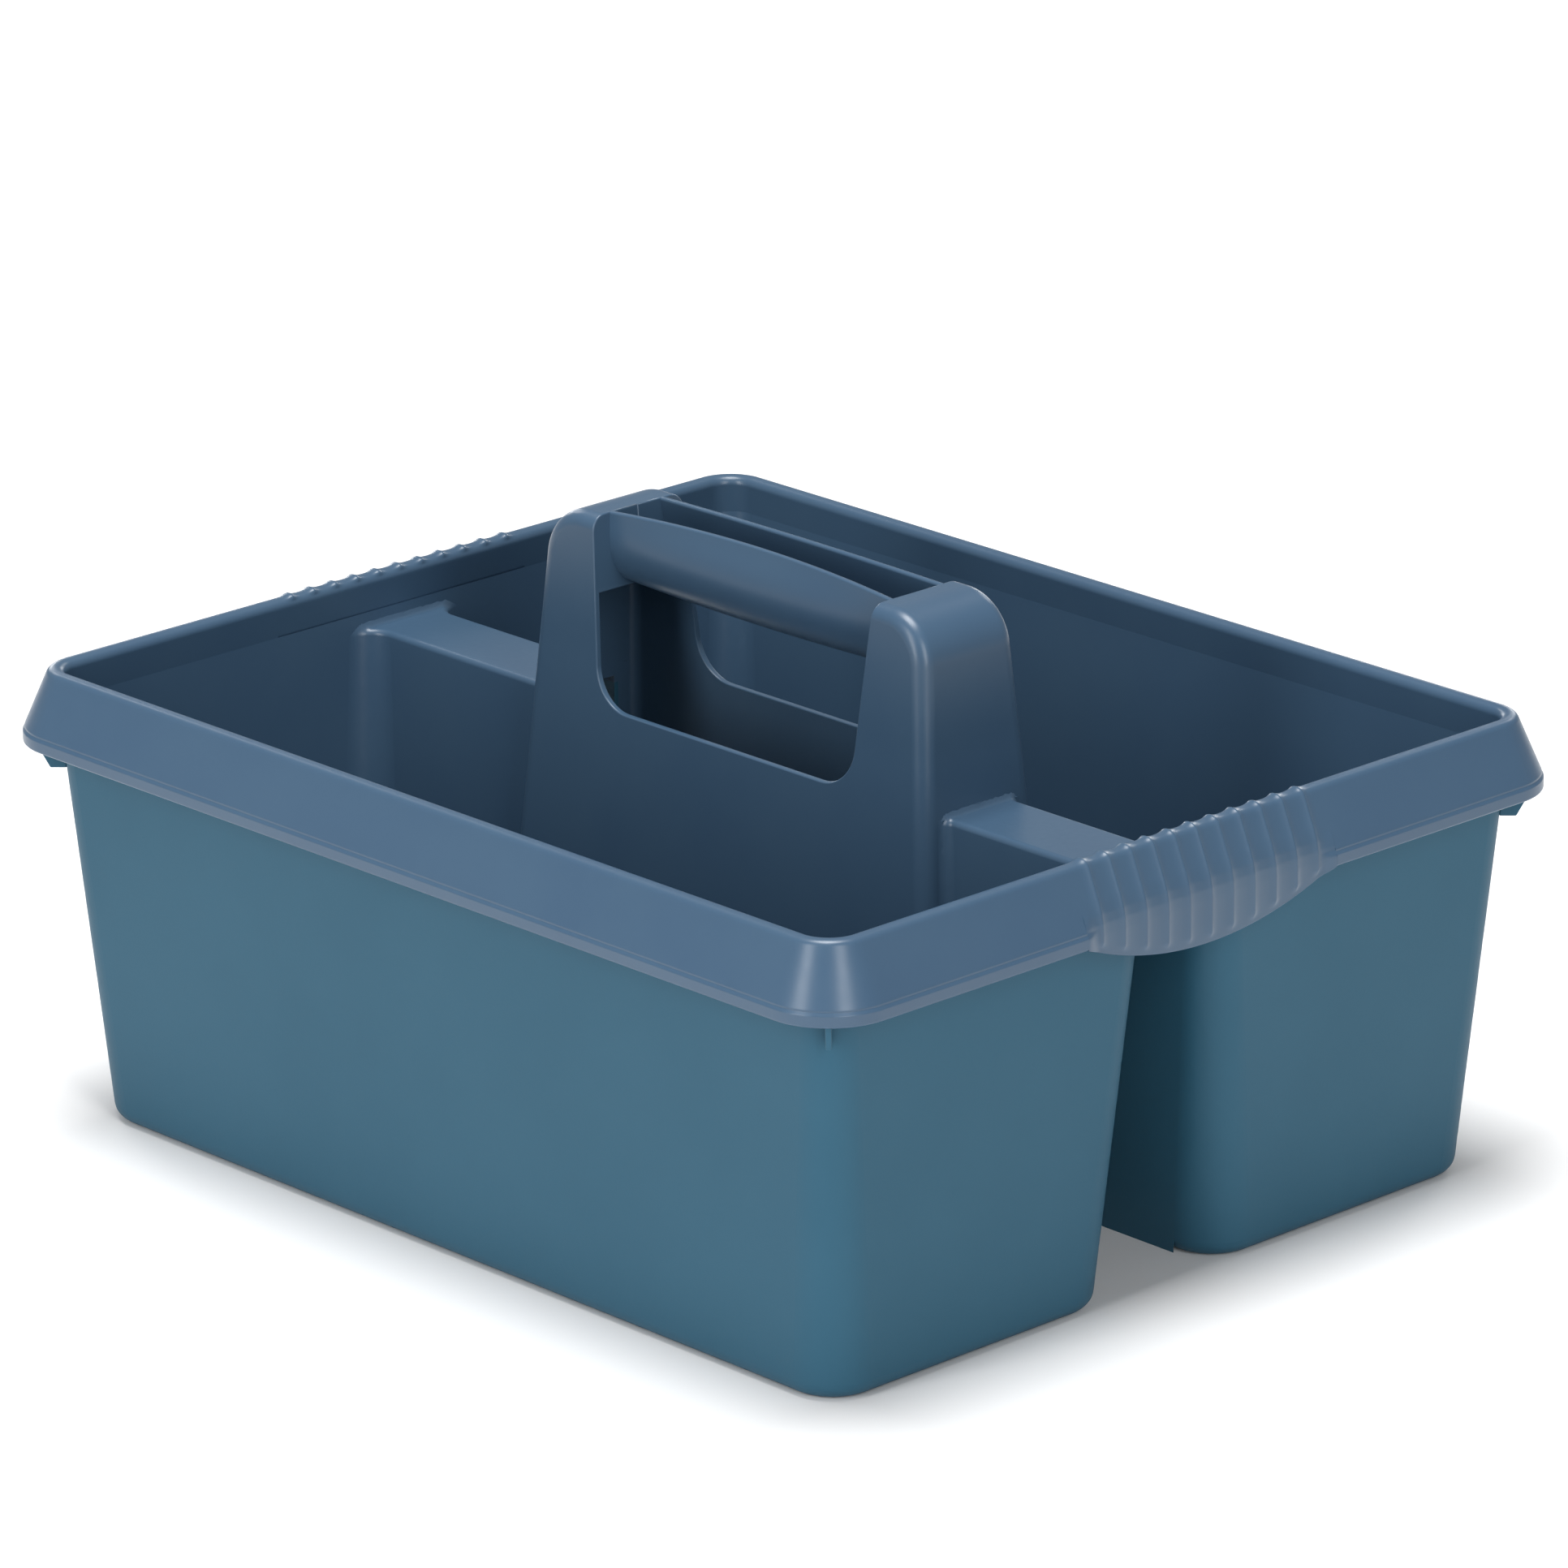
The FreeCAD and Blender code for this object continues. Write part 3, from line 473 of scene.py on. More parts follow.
# %% The ring of the rim
tree, given, identifiers = new_tree("rim_sweep", {
    "Length": "Float", "Depth": "Float", "Corner Radius": "Float", "Corner Steps": "Int",
    "Section": "Object", "Plastic": "Material"})
rectangle = add(tree, "GeometryNodeCurvePrimitiveQuadrilateral", {
    "Width": given["Length"], "Height": given["Depth"]}).outputs[0]
path = add(tree, "GeometryNodeFilletCurve", {
    "Curve": rectangle, "Radius": given["Corner Radius"], "Count": given["Corner Steps"]},
    mode="POLY").outputs[0]
end_tree(tree, sweep(tree, path, given["Section"], False), given["Plastic"])

CORNER_STEPS = 40
ring = grow("rim_ring", tree, identifiers, {
    "Length": 2 * ROLL_X * MM, "Depth": 2 * ROLL_Y * MM, "Corner Radius": RIM_CORNER * MM,
    "Corner Steps": CORNER_STEPS, "Section": section_object("rim_profile", rim_section),
    "Plastic": stoned})
print("the ring has", len(ring.data.polygons), "faces")

# %% [markdown]
# ## Ten pieces of rim
# The CAD model divides the rim into straights and corners that meet face to face. Cutting the
# ring at those same planes keeps the shapes continuous across every joint, which ten separate
# sweeps would only match by luck. Each cut is filled, and its edges are marked sharp so that the
# light on the rim doesn't bend towards the cut.

# %% Cut the ring where the nodes meet
GRIP_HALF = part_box("right_grip")[1].y / MM
TURN_X = ROLL_X - RIM_CORNER
TURN_Y = ROLL_Y - RIM_CORNER
MEETING_PLANES = ((TURN_X,), (TURN_Y, GRIP_HALF))
TOUCH = 0.02


def cut_off(shape, point, outward):
    """Removes what lies beyond a plane and closes each cut with a flat face."""
    made = bmesh.ops.bisect_plane(shape, geom=shape.verts[:] + shape.edges[:] + shape.faces[:],
                                  plane_co=point, plane_no=outward, clear_outer=True,
                                  dist=TOUCH * MM / 4)
    cut_edges = [item for item in made["geom_cut"] if isinstance(item, bmesh.types.BMEdge)]
    bmesh.ops.edgeloop_fill(shape, edges=cut_edges)
    for edge in cut_edges:
        edge.smooth = False


def cut_to_node(source, node):
    """The part of a source mesh that lies in a node's box, cut only where nodes meet."""
    low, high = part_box(node)
    shape = bmesh.new()
    shape.from_mesh(source)
    for axis, planes in enumerate(MEETING_PLANES):
        for point, way in ((low, -1), (high, 1)):
            if any(abs(abs(point[axis] / MM) - plane) < TOUCH for plane in planes):
                outward = Vector((0, 0, 0))
                outward[axis] = way
                cut_off(shape, point, outward)
    for vert in shape.verts[:]:
        if any(not low[k] - MM < vert.co[k] < high[k] + MM for k in (0, 1)):
            shape.verts.remove(vert)
    return to_piece("rolled_" + node, shape)


RIM_NODES = ["front_rim", "rear_rim", "left_front_rim", "left_rear_rim", "right_front_rim",
             "right_rear_rim"]
RIM_NODES += [f"{side}_{end}_rim_corner" for side in ("left", "right") for end in ("front", "rear")]
for node in RIM_NODES:
    hand_over(cut_to_node(ring.data, node), node)
bpy.data.objects.remove(ring)

# %% [markdown]
# ## The side grips
# In the middle of each short side the apron runs down further, for four fingers to curl under.
# Its lower edge is a long arc, and eleven fine crests cross it from over the roll down to just
# above the edge, with broad hollows between them. So the tree sweeps a taller section across the
# grip and then moves points three times: to squeeze the upright part up to the arc, to step out at
# both ends to the hem beside it, and along the surface's own normal to raise the crests. All three
# rules read only position and named sizes.

# %% Section of a grip
GRIP_REACH = 9.95
GRIP_LOW = 121.7
GRIP_BELLY = 25.0
GRIP_EDGE_ROUND = 0.8
SECTION_STEP = 0.7
bend = RIM_TOP - (GRIP_REACH - CROWN) / APRON_SLOPE
inner_bend = RIM_TOP - (GRIP_REACH - WALL + APRON_THICK - CROWN) / APRON_SLOPE
belly_end = bend - GRIP_BELLY * math.tan(LEAN / 2)
grip_corners = over_the_roll + [
    (GRIP_REACH, bend, GRIP_BELLY), (GRIP_REACH, GRIP_LOW, GRIP_EDGE_ROUND),
    (GRIP_REACH - WALL, GRIP_LOW, GRIP_EDGE_ROUND),
    (GRIP_REACH - WALL, inner_bend, GRIP_BELLY - WALL), slot_corner]


def refined(points, step):
    """The same outline with no side longer than the step."""
    finer = []
    for i, point in enumerate(points):
        following = points[(i + 1) % len(points)]
        parts = max(1, math.ceil((following - point).length / step))
        finer += [point.lerp(following, k / parts) for k in range(parts)]
    return finer


grip_section = refined(rounded(grip_corners), SECTION_STEP)
print("a grip's section has", len(grip_section), "points")

# %% The tree of a grip
CREST_POWER = 2.6
OUT_AND_UP = (0.6, 0, 0.8)
INNER_FACING, OUTER_FACING = -0.1, 0.4
LIP_PLAIN, LIP_FLUTED = 0.5, 1.6
tree, given, identifiers = new_tree("fluted_grip_sweep", {
    "Start": "Vector", "End": "Vector", "Stations": "Int", "Section": "Object",
    "Scallop Radius": "Float", "Lowest": "Float", "Straight Below": "Float",
    "Pitch": "Float", "Crest": "Float", "Fluted Half Width": "Float", "Plain Lip": "Float",
    "Half Width": "Float", "Blend": "Float", "Neck Step": "Float", "Neck Top": "Float",
    "Neck Foot": "Float", "Hem Step": "Float", "Hem Top": "Float", "Hem Foot": "Float",
    "Plastic": "Material"})
line = add(tree, "GeometryNodeCurvePrimitiveLine", {"Start": given["Start"], "End": given["End"]})
path = add(tree, "GeometryNodeResampleCurve", {"Curve": line.outputs[0], "Count": given["Stations"]})
bar = sweep(tree, path.outputs[0], given["Section"], True)

# The arc of the lower edge: how high it is at each place across the grip.
place = add(tree, "ShaderNodeSeparateXYZ", {0: add(tree, "GeometryNodeInputPosition").outputs[0]})
x, y, z = place.outputs
y_squared = add(tree, "ShaderNodeMath", {0: y, 1: y}, operation="MULTIPLY").outputs[0]
r_squared = add(tree, "ShaderNodeMath", {0: given["Scallop Radius"], 1: given["Scallop Radius"]},
                operation="MULTIPLY").outputs[0]
chord = add(tree, "ShaderNodeMath", {0: r_squared, 1: y_squared}, operation="SUBTRACT").outputs[0]
chord = add(tree, "ShaderNodeMath", {0: chord}, operation="SQRT").outputs[0]
climb = add(tree, "ShaderNodeMath", {0: given["Scallop Radius"], 1: chord},
            operation="SUBTRACT").outputs[0]
edge_level = add(tree, "ShaderNodeMath", {0: given["Lowest"], 1: climb}, operation="ADD").outputs[0]

# Heights from the lowest edge to the belly are squeezed into what is left above the arc.
squeezed = add(tree, "ShaderNodeMapRange", {
    "Value": z, "From Min": given["Lowest"], "From Max": given["Straight Below"],
    "To Min": edge_level, "To Max": given["Straight Below"]}).outputs[0]
is_low = add(tree, "ShaderNodeMath", {0: z, 1: given["Straight Below"]},
             operation="LESS_THAN").outputs[0]
moved = add(tree, "ShaderNodeCombineXYZ", {0: x, 1: y, 2: squeezed}).outputs[0]
scalloped = add(tree, "GeometryNodeSetPosition", {
    "Geometry": bar, "Selection": is_low, "Position": moved}).outputs[0]

# At both ends the grip steps out to the apron's foot and then to the hem, so that they meet.
across = add(tree, "ShaderNodeMath", {0: y}, operation="ABSOLUTE").outputs[0]
to_end = add(tree, "ShaderNodeMath", {0: given["Half Width"], 1: across},
             operation="SUBTRACT").outputs[0]
near_end = add(tree, "ShaderNodeMapRange", {"Value": to_end, "From Max": given["Blend"],
                                            "To Min": 1.0, "To Max": 0.0},
               interpolation_type="SMOOTHSTEP").outputs[0]
neck = add(tree, "ShaderNodeMapRange", {
    "Value": z, "From Min": given["Neck Top"], "From Max": given["Neck Foot"],
    "To Max": given["Neck Step"]}, interpolation_type="SMOOTHSTEP").outputs[0]
hem = add(tree, "ShaderNodeMapRange", {
    "Value": z, "From Min": given["Hem Top"], "From Max": given["Hem Foot"],
    "To Max": given["Hem Step"]}, interpolation_type="SMOOTHSTEP").outputs[0]
step = add(tree, "ShaderNodeMath", {0: neck, 1: hem}, operation="ADD").outputs[0]
step = add(tree, "ShaderNodeMath", {0: near_end, 1: step}, operation="MULTIPLY").outputs[0]
outward = add(tree, "ShaderNodeCombineXYZ", {0: step}).outputs[0]
scalloped = add(tree, "GeometryNodeSetPosition", {"Geometry": scalloped, "Offset": outward}).outputs[0]

# Crests: 1 on each multiple of the pitch, falling in a hollow curve to 0 half way to the next.
turns = add(tree, "ShaderNodeMath", {0: y, 1: given["Pitch"]}, operation="DIVIDE").outputs[0]
nearest = add(tree, "ShaderNodeMath", {0: turns}, operation="ROUND").outputs[0]
off = add(tree, "ShaderNodeMath", {0: turns, 1: nearest}, operation="SUBTRACT").outputs[0]
off = add(tree, "ShaderNodeMath", {0: off}, operation="ABSOLUTE").outputs[0]
crest = add(tree, "ShaderNodeMath", {0: off, 1: -2.0, 2: 1.0}, operation="MULTIPLY_ADD").outputs[0]
crest = add(tree, "ShaderNodeMath", {0: crest, 1: CREST_POWER}, operation="POWER").outputs[0]
within = add(tree, "ShaderNodeMath", {0: across, 1: given["Fluted Half Width"]},
             operation="LESS_THAN").outputs[0]

# They are raised on the outer face and over the roll, and end above a plain lip.
facing = add(tree, "ShaderNodeVectorMath", {
    0: add(tree, "GeometryNodeInputNormal").outputs[0], 1: OUT_AND_UP},
    operation="DOT_PRODUCT").outputs["Value"]
outer_side = add(tree, "ShaderNodeMapRange", {"Value": facing, "From Min": INNER_FACING,
                                              "From Max": OUTER_FACING},
                 interpolation_type="SMOOTHSTEP").outputs[0]
above_edge = add(tree, "ShaderNodeMath", {0: z, 1: edge_level}, operation="SUBTRACT").outputs[0]
off_lip = add(tree, "ShaderNodeMath", {0: above_edge, 1: given["Plain Lip"]},
              operation="DIVIDE").outputs[0]
clear_of_lip = add(tree, "ShaderNodeMapRange", {"Value": off_lip, "From Min": LIP_PLAIN,
                                                "From Max": LIP_FLUTED},
                   interpolation_type="SMOOTHSTEP").outputs[0]
height = given["Crest"]
for share in (crest, within, outer_side, clear_of_lip):
    height = add(tree, "ShaderNodeMath", {0: height, 1: share}, operation="MULTIPLY").outputs[0]
raised = add(tree, "ShaderNodeVectorMath", {
    0: add(tree, "GeometryNodeInputNormal").outputs[0], "Scale": height}, operation="SCALE").outputs[0]
fluted = add(tree, "GeometryNodeSetPosition", {"Geometry": scalloped, "Offset": raised}).outputs[0]
end_tree(tree, fluted, given["Plastic"])
print("the grip's tree has", len(tree.nodes), "nodes")

# %% Two grips
RIB_PITCH = 9.7
RIB_HEIGHT = 0.9
RIBS_EACH_SIDE = 5
STATION_STEP = 0.45
PLAIN_LIP = 2.6
END_BLEND = 7
NECK_STEP = 1.0
BACK_FROM_HEM = 0.03
RISE = HEM_LOW - GRIP_LOW
SCALLOP = (GRIP_HALF ** 2 + RISE ** 2) / (2 * RISE)
grip = grow("fluted_right_grip", tree, identifiers, {
    "Start": (ROLL_X * MM, -GRIP_HALF * MM, 0), "End": (ROLL_X * MM, GRIP_HALF * MM, 0),
    "Stations": round(2 * GRIP_HALF / STATION_STEP),
    "Section": section_object("grip_profile", grip_section),
    "Scallop Radius": SCALLOP * MM, "Lowest": GRIP_LOW * MM, "Straight Below": belly_end * MM,
    "Pitch": RIB_PITCH * MM, "Crest": RIB_HEIGHT * MM,
    "Fluted Half Width": (RIBS_EACH_SIDE + 0.5) * RIB_PITCH * MM, "Plain Lip": PLAIN_LIP * MM,
    "Half Width": GRIP_HALF * MM, "Blend": END_BLEND * MM, "Neck Step": NECK_STEP * MM,
    "Neck Top": (2 * bend - belly_end) * MM, "Neck Foot": APRON_END * MM,
    "Hem Step": (HEM_REACH - GRIP_REACH - NECK_STEP - BACK_FROM_HEM) * MM,
    "Hem Top": (HEM_HIGH + HEM_STEP / 2) * MM, "Hem Foot": (HEM_HIGH - HEM_STEP) * MM,
    "Plastic": stoned})
turned = grip.data.copy()
turned.transform(Matrix.Rotation(math.pi, 4, "Z"))
hand_over(grip, "right_grip")
hand_over(new_piece("fluted_left_grip", turned), "left_grip")

# %% [markdown]
# ## The saddles
# At each end of the channel a saddle bridges the two bins. From above it is a strip that flares
# at both ends: in a small round into the tower and in a large one, the bins' own inner corner,
# into the end wall. Its long edges are rounded over, and its top climbs a small fillet into the
# tower and the end wall. A swept profile can't do all that at once, so the saddle is a loft: one
# closed ring of points at each place along the flared edge, joined to the next ring by quads.

# %% The saddle's edge in plan
SADDLE_TOP = 140.8
SADDLE_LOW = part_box("right_saddle")[0].z / MM
SLAB_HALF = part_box("right_saddle")[1].y / MM
TOWER_AT_FLOOR = 106.28
TOWER_TAPER = 0.082
TOWER_FLARE = 3.5
EDGE_ROUND = 2.0
RIGHT_ANGLE = math.pi / 2


def channel(level):
    """Half width of the channel at a height."""
    return CHANNEL_AT_FLOOR - CHANNEL_DRAFT * level


def end_wall(level):
    """The inner face of the end wall at a height."""
    return END_AT_FLOOR + DRAFT * level - WALL


def edge_in_plan(place, level):
    """A point of the saddle's flared side and the way it faces; place runs from 0 to 3."""
    tower = TOWER_AT_FLOOR - TOWER_TAPER * level
    side = channel(level) + WALL
    end_flare = CORNER_AT_FLOOR - CORNER_SHRINK * level - WALL
    if place <= 1:
        facing = Vector((math.cos(place * RIGHT_ANGLE), math.sin(place * RIGHT_ANGLE)))
        return Vector((tower + TOWER_FLARE, side + TOWER_FLARE)) - TOWER_FLARE * facing, facing
    if place >= 2:
        angle = (3 - place) * RIGHT_ANGLE
        facing = Vector((-math.cos(angle), math.sin(angle)))
        centre = Vector((end_wall(level) - end_flare, side + end_flare))
        return centre - end_flare * facing, facing
    along = (tower + TOWER_FLARE) * (2 - place) + (end_wall(level) - end_flare) * (place - 1)
    return Vector((along, side)), Vector((0, 1))


def climb_at(along):
    """How far the top climbs, in its fillets to the tower and to the end wall."""
    tower = TOWER_AT_FLOOR - TOWER_TAPER * SADDLE_TOP
    off_wall = min(along - tower, end_wall(SADDLE_TOP) - along)
    short = EDGE_ROUND - min(max(off_wall, 0), EDGE_ROUND)
    return EDGE_ROUND - math.sqrt(EDGE_ROUND ** 2 - short ** 2)


# %% One ring of the loft
ROUND_STEPS = 8
TOP_STEPS = 6


def saddle_ring(place, shift):
    """The closed ring of a saddle at a place along its edge, moved along by a small shift."""
    foot = edge_in_plan(place, SADDLE_LOW)[0]
    ring = [(foot.x, channel(SADDLE_TOP - WALL), SADDLE_TOP - WALL),
            (foot.x, channel(SADDLE_LOW), SADDLE_LOW), (foot.x, foot.y, SADDLE_LOW)]
    for step in range(ROUND_STEPS + 1):
        turn = RIGHT_ANGLE * (1 - step / ROUND_STEPS)
        level = SADDLE_TOP - EDGE_ROUND * (1 - math.cos(turn))
        edge, facing = edge_in_plan(place, level)
        edge = edge - facing * EDGE_ROUND * (1 - math.sin(turn))
        ring.append((edge.x, edge.y, level + climb_at(edge.x) * math.cos(turn)))
    shoulder = Vector(ring[-1])
    middle = edge_in_plan(place, SADDLE_TOP)[0].x
    for step in range(1, TOP_STEPS + 1):
        share = step / TOP_STEPS
        along = shoulder.x + (middle - shoulder.x) * share
        ring.append((along, shoulder.y * (1 - share), SADDLE_TOP + climb_at(along)))
    other_side = [(x, -y, z) for x, y, z in reversed(ring[:-1])]
    return [Vector((x + shift, y, z)) * MM for x, y, z in ring + other_side]


# %% Both saddles
EMBED = 0.6
TOWER_STEPS = 10
RUN_STEPS = 6
END_STEPS = 18


def closed_loft(shape, rings):
    """Joins rings of equal length by quads and closes both ends."""
    rows = [[shape.verts.new(point) for point in ring] for ring in rings]
    count = len(rows[0])
    for first, second in zip(rows, rows[1:]):
        for i in range(count):
            following = (i + 1) % count
            shape.faces.new((first[i], first[following], second[following], second[i]))
    for row in (rows[0], rows[-1]):
        cap = shape.faces.new(row)
        for edge in cap.edges:
            edge.smooth = False


places = [k / TOWER_STEPS for k in range(TOWER_STEPS)]
places += [1 + k / RUN_STEPS for k in range(RUN_STEPS)]
places += [2 + k / END_STEPS for k in range(END_STEPS + 1)]
stations = [(0, -EMBED)] + [(place, 0) for place in places] + [(3, EMBED)]
slab_outline = [
    (SLAB_HALF, SADDLE_LOW), (SLAB_HALF, RIM_BASE), (-SLAB_HALF, RIM_BASE), (-SLAB_HALF, SADDLE_LOW),
    (-channel(SADDLE_LOW), SADDLE_LOW), (-channel(SADDLE_TOP - WALL), SADDLE_TOP - WALL),
    (channel(SADDLE_TOP - WALL), SADDLE_TOP - WALL), (channel(SADDLE_LOW), SADDLE_LOW)]
for side, turn in (("right", 0), ("left", math.pi)):
    shape = bmesh.new()
    closed_loft(shape, [saddle_ring(place, shift) for place, shift in stations])
    closed_loft(shape, [[Vector((end_wall(z) + deeper, y, z)) * MM for y, z in slab_outline]
                        for deeper in (0, WALL)])
    shape.transform(Matrix.Rotation(turn, 4, "Z"))
    hand_over(to_piece(f"flared_{side}_saddle", shape), side + "_saddle")

# %% [markdown]
# ## The grip trough
# The bar across the window is an open trough with a U section, so that the hand closes round a
# thick bar that weighs little. Its lips arch up and come together at mid length, and its bottom
# sags a little, all by the same fading rule. Half the U is a spline through four points: lip,
# belly, haunch and bottom. The spline is worked out so that its curvature is smooth.

# %% Half a U as a smooth spline
SPLINE_STEPS = 8


def smooth_through(points, first, last):
    """Points along a spline through four points, with smooth curvature and given end directions."""
    gaps = [(b - a).length for a, b in zip(points, points[1:])]
    slopes = [(b - a) / gap for a, b, gap in zip(points, points[1:], gaps)]
    one, two, three = gaps
    # The two inner directions follow from equal curvature on both sides of each inner point.
    system = Matrix(((2 * (one + two), one), (three, 2 * (two + three)))).inverted()
    right = [3 * (two * slopes[0] + one * slopes[1]) - two * first,
             3 * (three * slopes[1] + two * slopes[2]) - two * last]
    inner = [system[row][0] * right[0] + system[row][1] * right[1] for row in (0, 1)]
    ways = [first, *inner, last]
    line = [points[0]]
    for i, gap in enumerate(gaps):
        for step in range(1, SPLINE_STEPS + 1):
            t = step / SPLINE_STEPS
            line.append(points[i] * (2 * t ** 3 - 3 * t ** 2 + 1) + points[i + 1] * (3 * t ** 2 - 2 * t ** 3)
                        + ways[i] * gap * (t ** 3 - 2 * t ** 2 + t) + ways[i + 1] * gap * (t ** 3 - t ** 2))
    return line


# %% The trough's section and the trough
TROUGH_TOP = 207.4
TROUGH_BOTTOM = 182.0
TROUGH_LIP = 12.8
TROUGH_BELLY = 13.4
TROUGH_PINCH = 3.5
TROUGH_RISE = 2.25
TROUGH_SAG = 1.5
TROUGH_SPAN = 70.0
WAIST_SHARE = 0.52
HAUNCH_OUT = 0.62
HAUNCH_UP = 0.19
LIP_ROUND = 0.95
LIP_STEPS = 8
WINDOW_LOW = 144.1
WINDOW_HALF = 60.0
WINDOW_TALL = 70.9
WINDOW_SPREAD = 6.9
WINDOW_LEAN = WINDOW_SPREAD / WINDOW_TALL


def window_side(level):
    """Half width of the window at a height."""
    return WINDOW_HALF + WINDOW_LEAN * (level - WINDOW_LOW)


def trough_section(share):
    """The closed U of the trough; share runs from 0 at the middle to 1 at the ends."""
    fade = 1 - share ** 2
    top = TROUGH_TOP + TROUGH_RISE * fade
    bottom = TROUGH_BOTTOM - TROUGH_SAG * fade
    lip = TROUGH_LIP - TROUGH_PINCH * fade
    waist = bottom + WAIST_SHARE * (top - bottom)
    halves = []
    for inset in (0, WALL):
        wide = TROUGH_BELLY - inset
        low = bottom + inset
        points = [Vector((lip - inset, top)), Vector((wide, waist)),
                  Vector((HAUNCH_OUT * wide, low + HAUNCH_UP * wide)), Vector((0, low))]
        halves.append(smooth_through(points, (points[1] - points[0]).normalized(), Vector((-1, 0))))
    outer, inner = [[(p.x, p.y, 0) for p in half] for half in halves]
    outer[0] = (*outer[0][:2], LIP_ROUND)
    inner[0] = (*inner[0][:2], LIP_ROUND)
    right = outer[::-1][1:] + inner[:-1]
    left = [(-x, y, r) for x, y, r in reversed(right)]
    return rounded([outer[-1]] + right + [inner[-1]] + left, LIP_STEPS)


TROUGH_STATIONS = 48
rings = []
for station in range(TROUGH_STATIONS + 1):
    share = 2 * station / TROUGH_STATIONS - 1
    middle = share * window_side(TROUGH_TOP)
    section = trough_section(abs(middle) / TROUGH_SPAN)
    rings.append([Vector((share * (window_side(z) + EMBED), y, z)) * MM for y, z in section])
shape = bmesh.new()
closed_loft(shape, rings)
hand_over(to_piece("arched_trough", shape), "handle_trough")

# %% [markdown]
# ## Plates and gussets
# The two plates of the tower and the four gussets under the hem are right in the CAD model but
# for their edges, which a mould always breaks. A CAD mesh is loose triangles, so a copy is welded
# and its flat faces are joined first. Then the edges to round are given a bevel weight, and a
# Bevel modifier limited by weight rounds those and nothing else.

# %% Softened copies
WELD = 0.002
SAME_FACE = math.radians(1)
BEVEL_STEPS = 4


def softened(name, node, radius_at, material=stoned):
    """A copy of a CAD node whose edges are rounded; radius_at(edge) gives mm, or nought."""
    shape = bmesh.new()
    shape.from_mesh(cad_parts[node].data)
    bmesh.ops.remove_doubles(shape, verts=shape.verts, dist=WELD * MM)
    bmesh.ops.dissolve_limit(shape, angle_limit=SAME_FACE, verts=shape.verts, edges=shape.edges)
    weight = shape.edges.layers.float.new("bevel_weight_edge")
    radii = {edge: radius_at(edge) for edge in shape.edges}
    largest = max(radii.values())
    for edge, radius in radii.items():
        edge[weight] = radius / largest
    print(node, "has", sum(radius > 0 for radius in radii.values()), "edges to round")
    piece = to_piece(name, shape, material)
    bevel = piece.modifiers.new("broken_edges", "BEVEL")
    bevel.limit_method = "WEIGHT"
    bevel.width = largest * MM
    bevel.segments = BEVEL_STEPS
    bevel.use_clamp_overlap = True
    apply_modifiers(piece)
    return piece


# %% Plates round the window
WINDOW_EDGE = 0.45
ON_WINDOW = 0.3
WINDOW_CORNER = 15.5
BELOW_WINDOW = 0.5
WINDOW_REACH = 71.5
FACES_ALONG = 0.05


def window_edge_radius(edge):
    """The radius for edges where a plate's faces meet the window's cut."""
    if len(edge.link_faces) != 2 or edge.calc_face_angle() < CREASE:
        return 0
    middle = (edge.verts[0].co + edge.verts[1].co) / 2 / MM
    off_side = abs(abs(middle.x) - window_side(middle.z))
    low_corner = -BELOW_WINDOW < middle.z - WINDOW_LOW < WINDOW_CORNER
    faces_in = any(abs(face.normal.y) < FACES_ALONG for face in edge.link_faces)
    on_edge = faces_in and (off_side < ON_WINDOW or low_corner)
    return WINDOW_EDGE if on_edge and abs(middle.x) < WINDOW_REACH else 0


for side in ("front", "rear"):
    node = side + "_handle_plate"
    hand_over(softened("rounded_" + node, node, window_edge_radius), node)

# %% Gussets
GUSSET_EDGE = 0.4
hand_over(softened("rounded_gussets", "corner_gussets",
                   lambda edge: GUSSET_EDGE if edge.calc_face_angle(0) > CREASE else 0, grained),
          "corner_gussets")

# %% [markdown]
# ## Floor and light
# The caddy stands on a plain pale floor in a white room, as in a catalogue. Most of the light
# comes from straight above, which keeps the floor white and the insides deep. Two tall soft lamps
# stand either side of the camera: one lights the front, one lights the end, and both draw the
# bright strips on the rounded corner between them. Four weak lamps behind put light on the roll;
# the two low ones show on its crown at the outer corners, but not on the flat saddles.

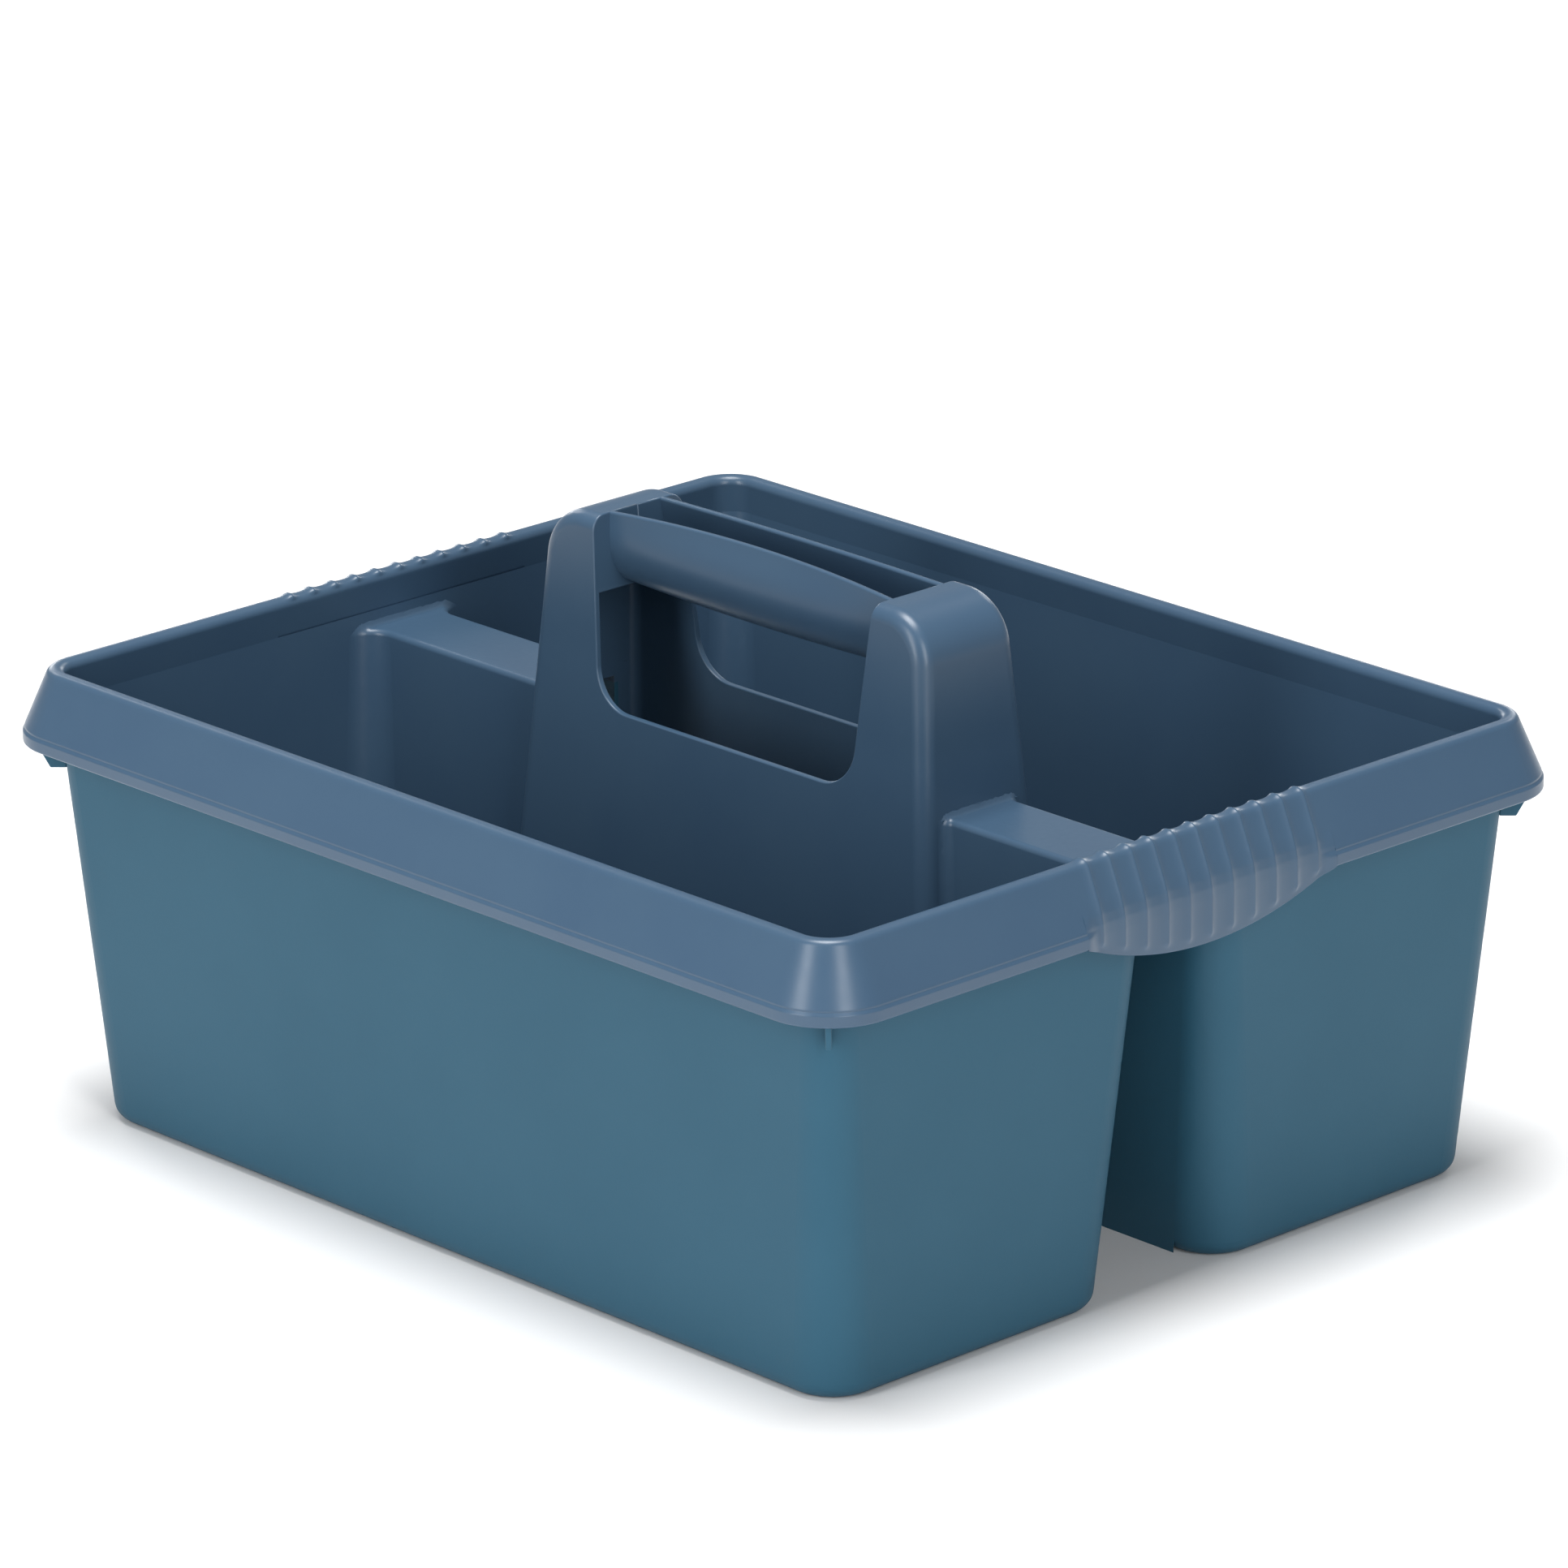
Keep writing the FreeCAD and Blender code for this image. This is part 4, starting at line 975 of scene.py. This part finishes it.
# %% Floor
FLOOR_HALF = 8
floor_mesh = bpy.data.meshes.new("floor")
floor_mesh.from_pydata([(-FLOOR_HALF, -FLOOR_HALF, 0), (FLOOR_HALF, -FLOOR_HALF, 0),
                        (FLOOR_HALF, FLOOR_HALF, 0), (-FLOOR_HALF, FLOOR_HALF, 0)], [], [(0, 1, 2, 3)])
floor = bpy.data.objects.new("floor", floor_mesh)
scene.collection.objects.link(floor)
paper = bpy.data.materials.new("white_backing_paper")
paper.use_nodes = True
paper_shader = paper.node_tree.nodes["Principled BSDF"]
paper_shader.inputs["Base Color"].default_value = linear("#f8f8f8")
paper_shader.inputs["Roughness"].default_value = 0.9
floor_mesh.materials.append(paper)
print("floor is", 2 * FLOOR_HALF, "m across")

# %% Lights
ROOM_LIGHT = 0.16
ROOM_GLINT = 0.3
world = bpy.data.worlds.new("white_room")
scene.world = world
world.use_nodes = True
world.node_tree.nodes["Background"].inputs["Color"].default_value = (1, 1, 1, 1)
# The room looks white and shows in reflections, but gives little light of its own.
seen_by = add(world.node_tree, "ShaderNodeLightPath")
glint = add(world.node_tree, "ShaderNodeMapRange", {
    "Value": seen_by.outputs["Is Glossy Ray"], "To Min": ROOM_LIGHT, "To Max": ROOM_GLINT}).outputs[0]
shown = add(world.node_tree, "ShaderNodeMath", {0: glint, 1: seen_by.outputs["Is Camera Ray"]},
            operation="MAXIMUM").outputs[0]
world.node_tree.links.new(shown, world.node_tree.nodes["Background"].inputs["Strength"])
AIM = Vector((0, 0, 0.1))
LAMP_DISTANCE = 3.0


def softbox(name, azimuth, elevation, width, height, watts):
    """A rectangular lamp that faces the caddy from an azimuth and an elevation in degrees."""
    turn, lift = math.radians(azimuth), math.radians(elevation)
    way = Vector((math.sin(turn) * math.cos(lift), -math.cos(turn) * math.cos(lift), math.sin(lift)))
    data = bpy.data.lights.new(name, "AREA")
    data.shape = "RECTANGLE"
    data.size = width
    data.size_y = height
    data.energy = watts
    lamp = bpy.data.objects.new(name, data)
    lamp.location = AIM + way * LAMP_DISTANCE
    lamp.rotation_euler = (-way).to_track_quat("-Z", "Y").to_euler()
    scene.collection.objects.link(lamp)
    print(name, watts, "W from", [round(v, 2) for v in lamp.location])


softbox("left_key", 2, 22, 0.85, 2.2, 39)
softbox("right_key", 70, 22, 0.85, 2.2, 35)
softbox("overhead", 0, 87, 1.5, 1.5, 108)
softbox("back_left", 195, 32, 0.6, 0.6, 6)
softbox("back_right", -102, 32, 0.6, 0.6, 6)
softbox("low_left", 209, 11, 0.8, 0.5, 6)
softbox("low_right", 245, 11, 0.8, 0.5, 8)
scene.view_settings.view_transform = "Standard"
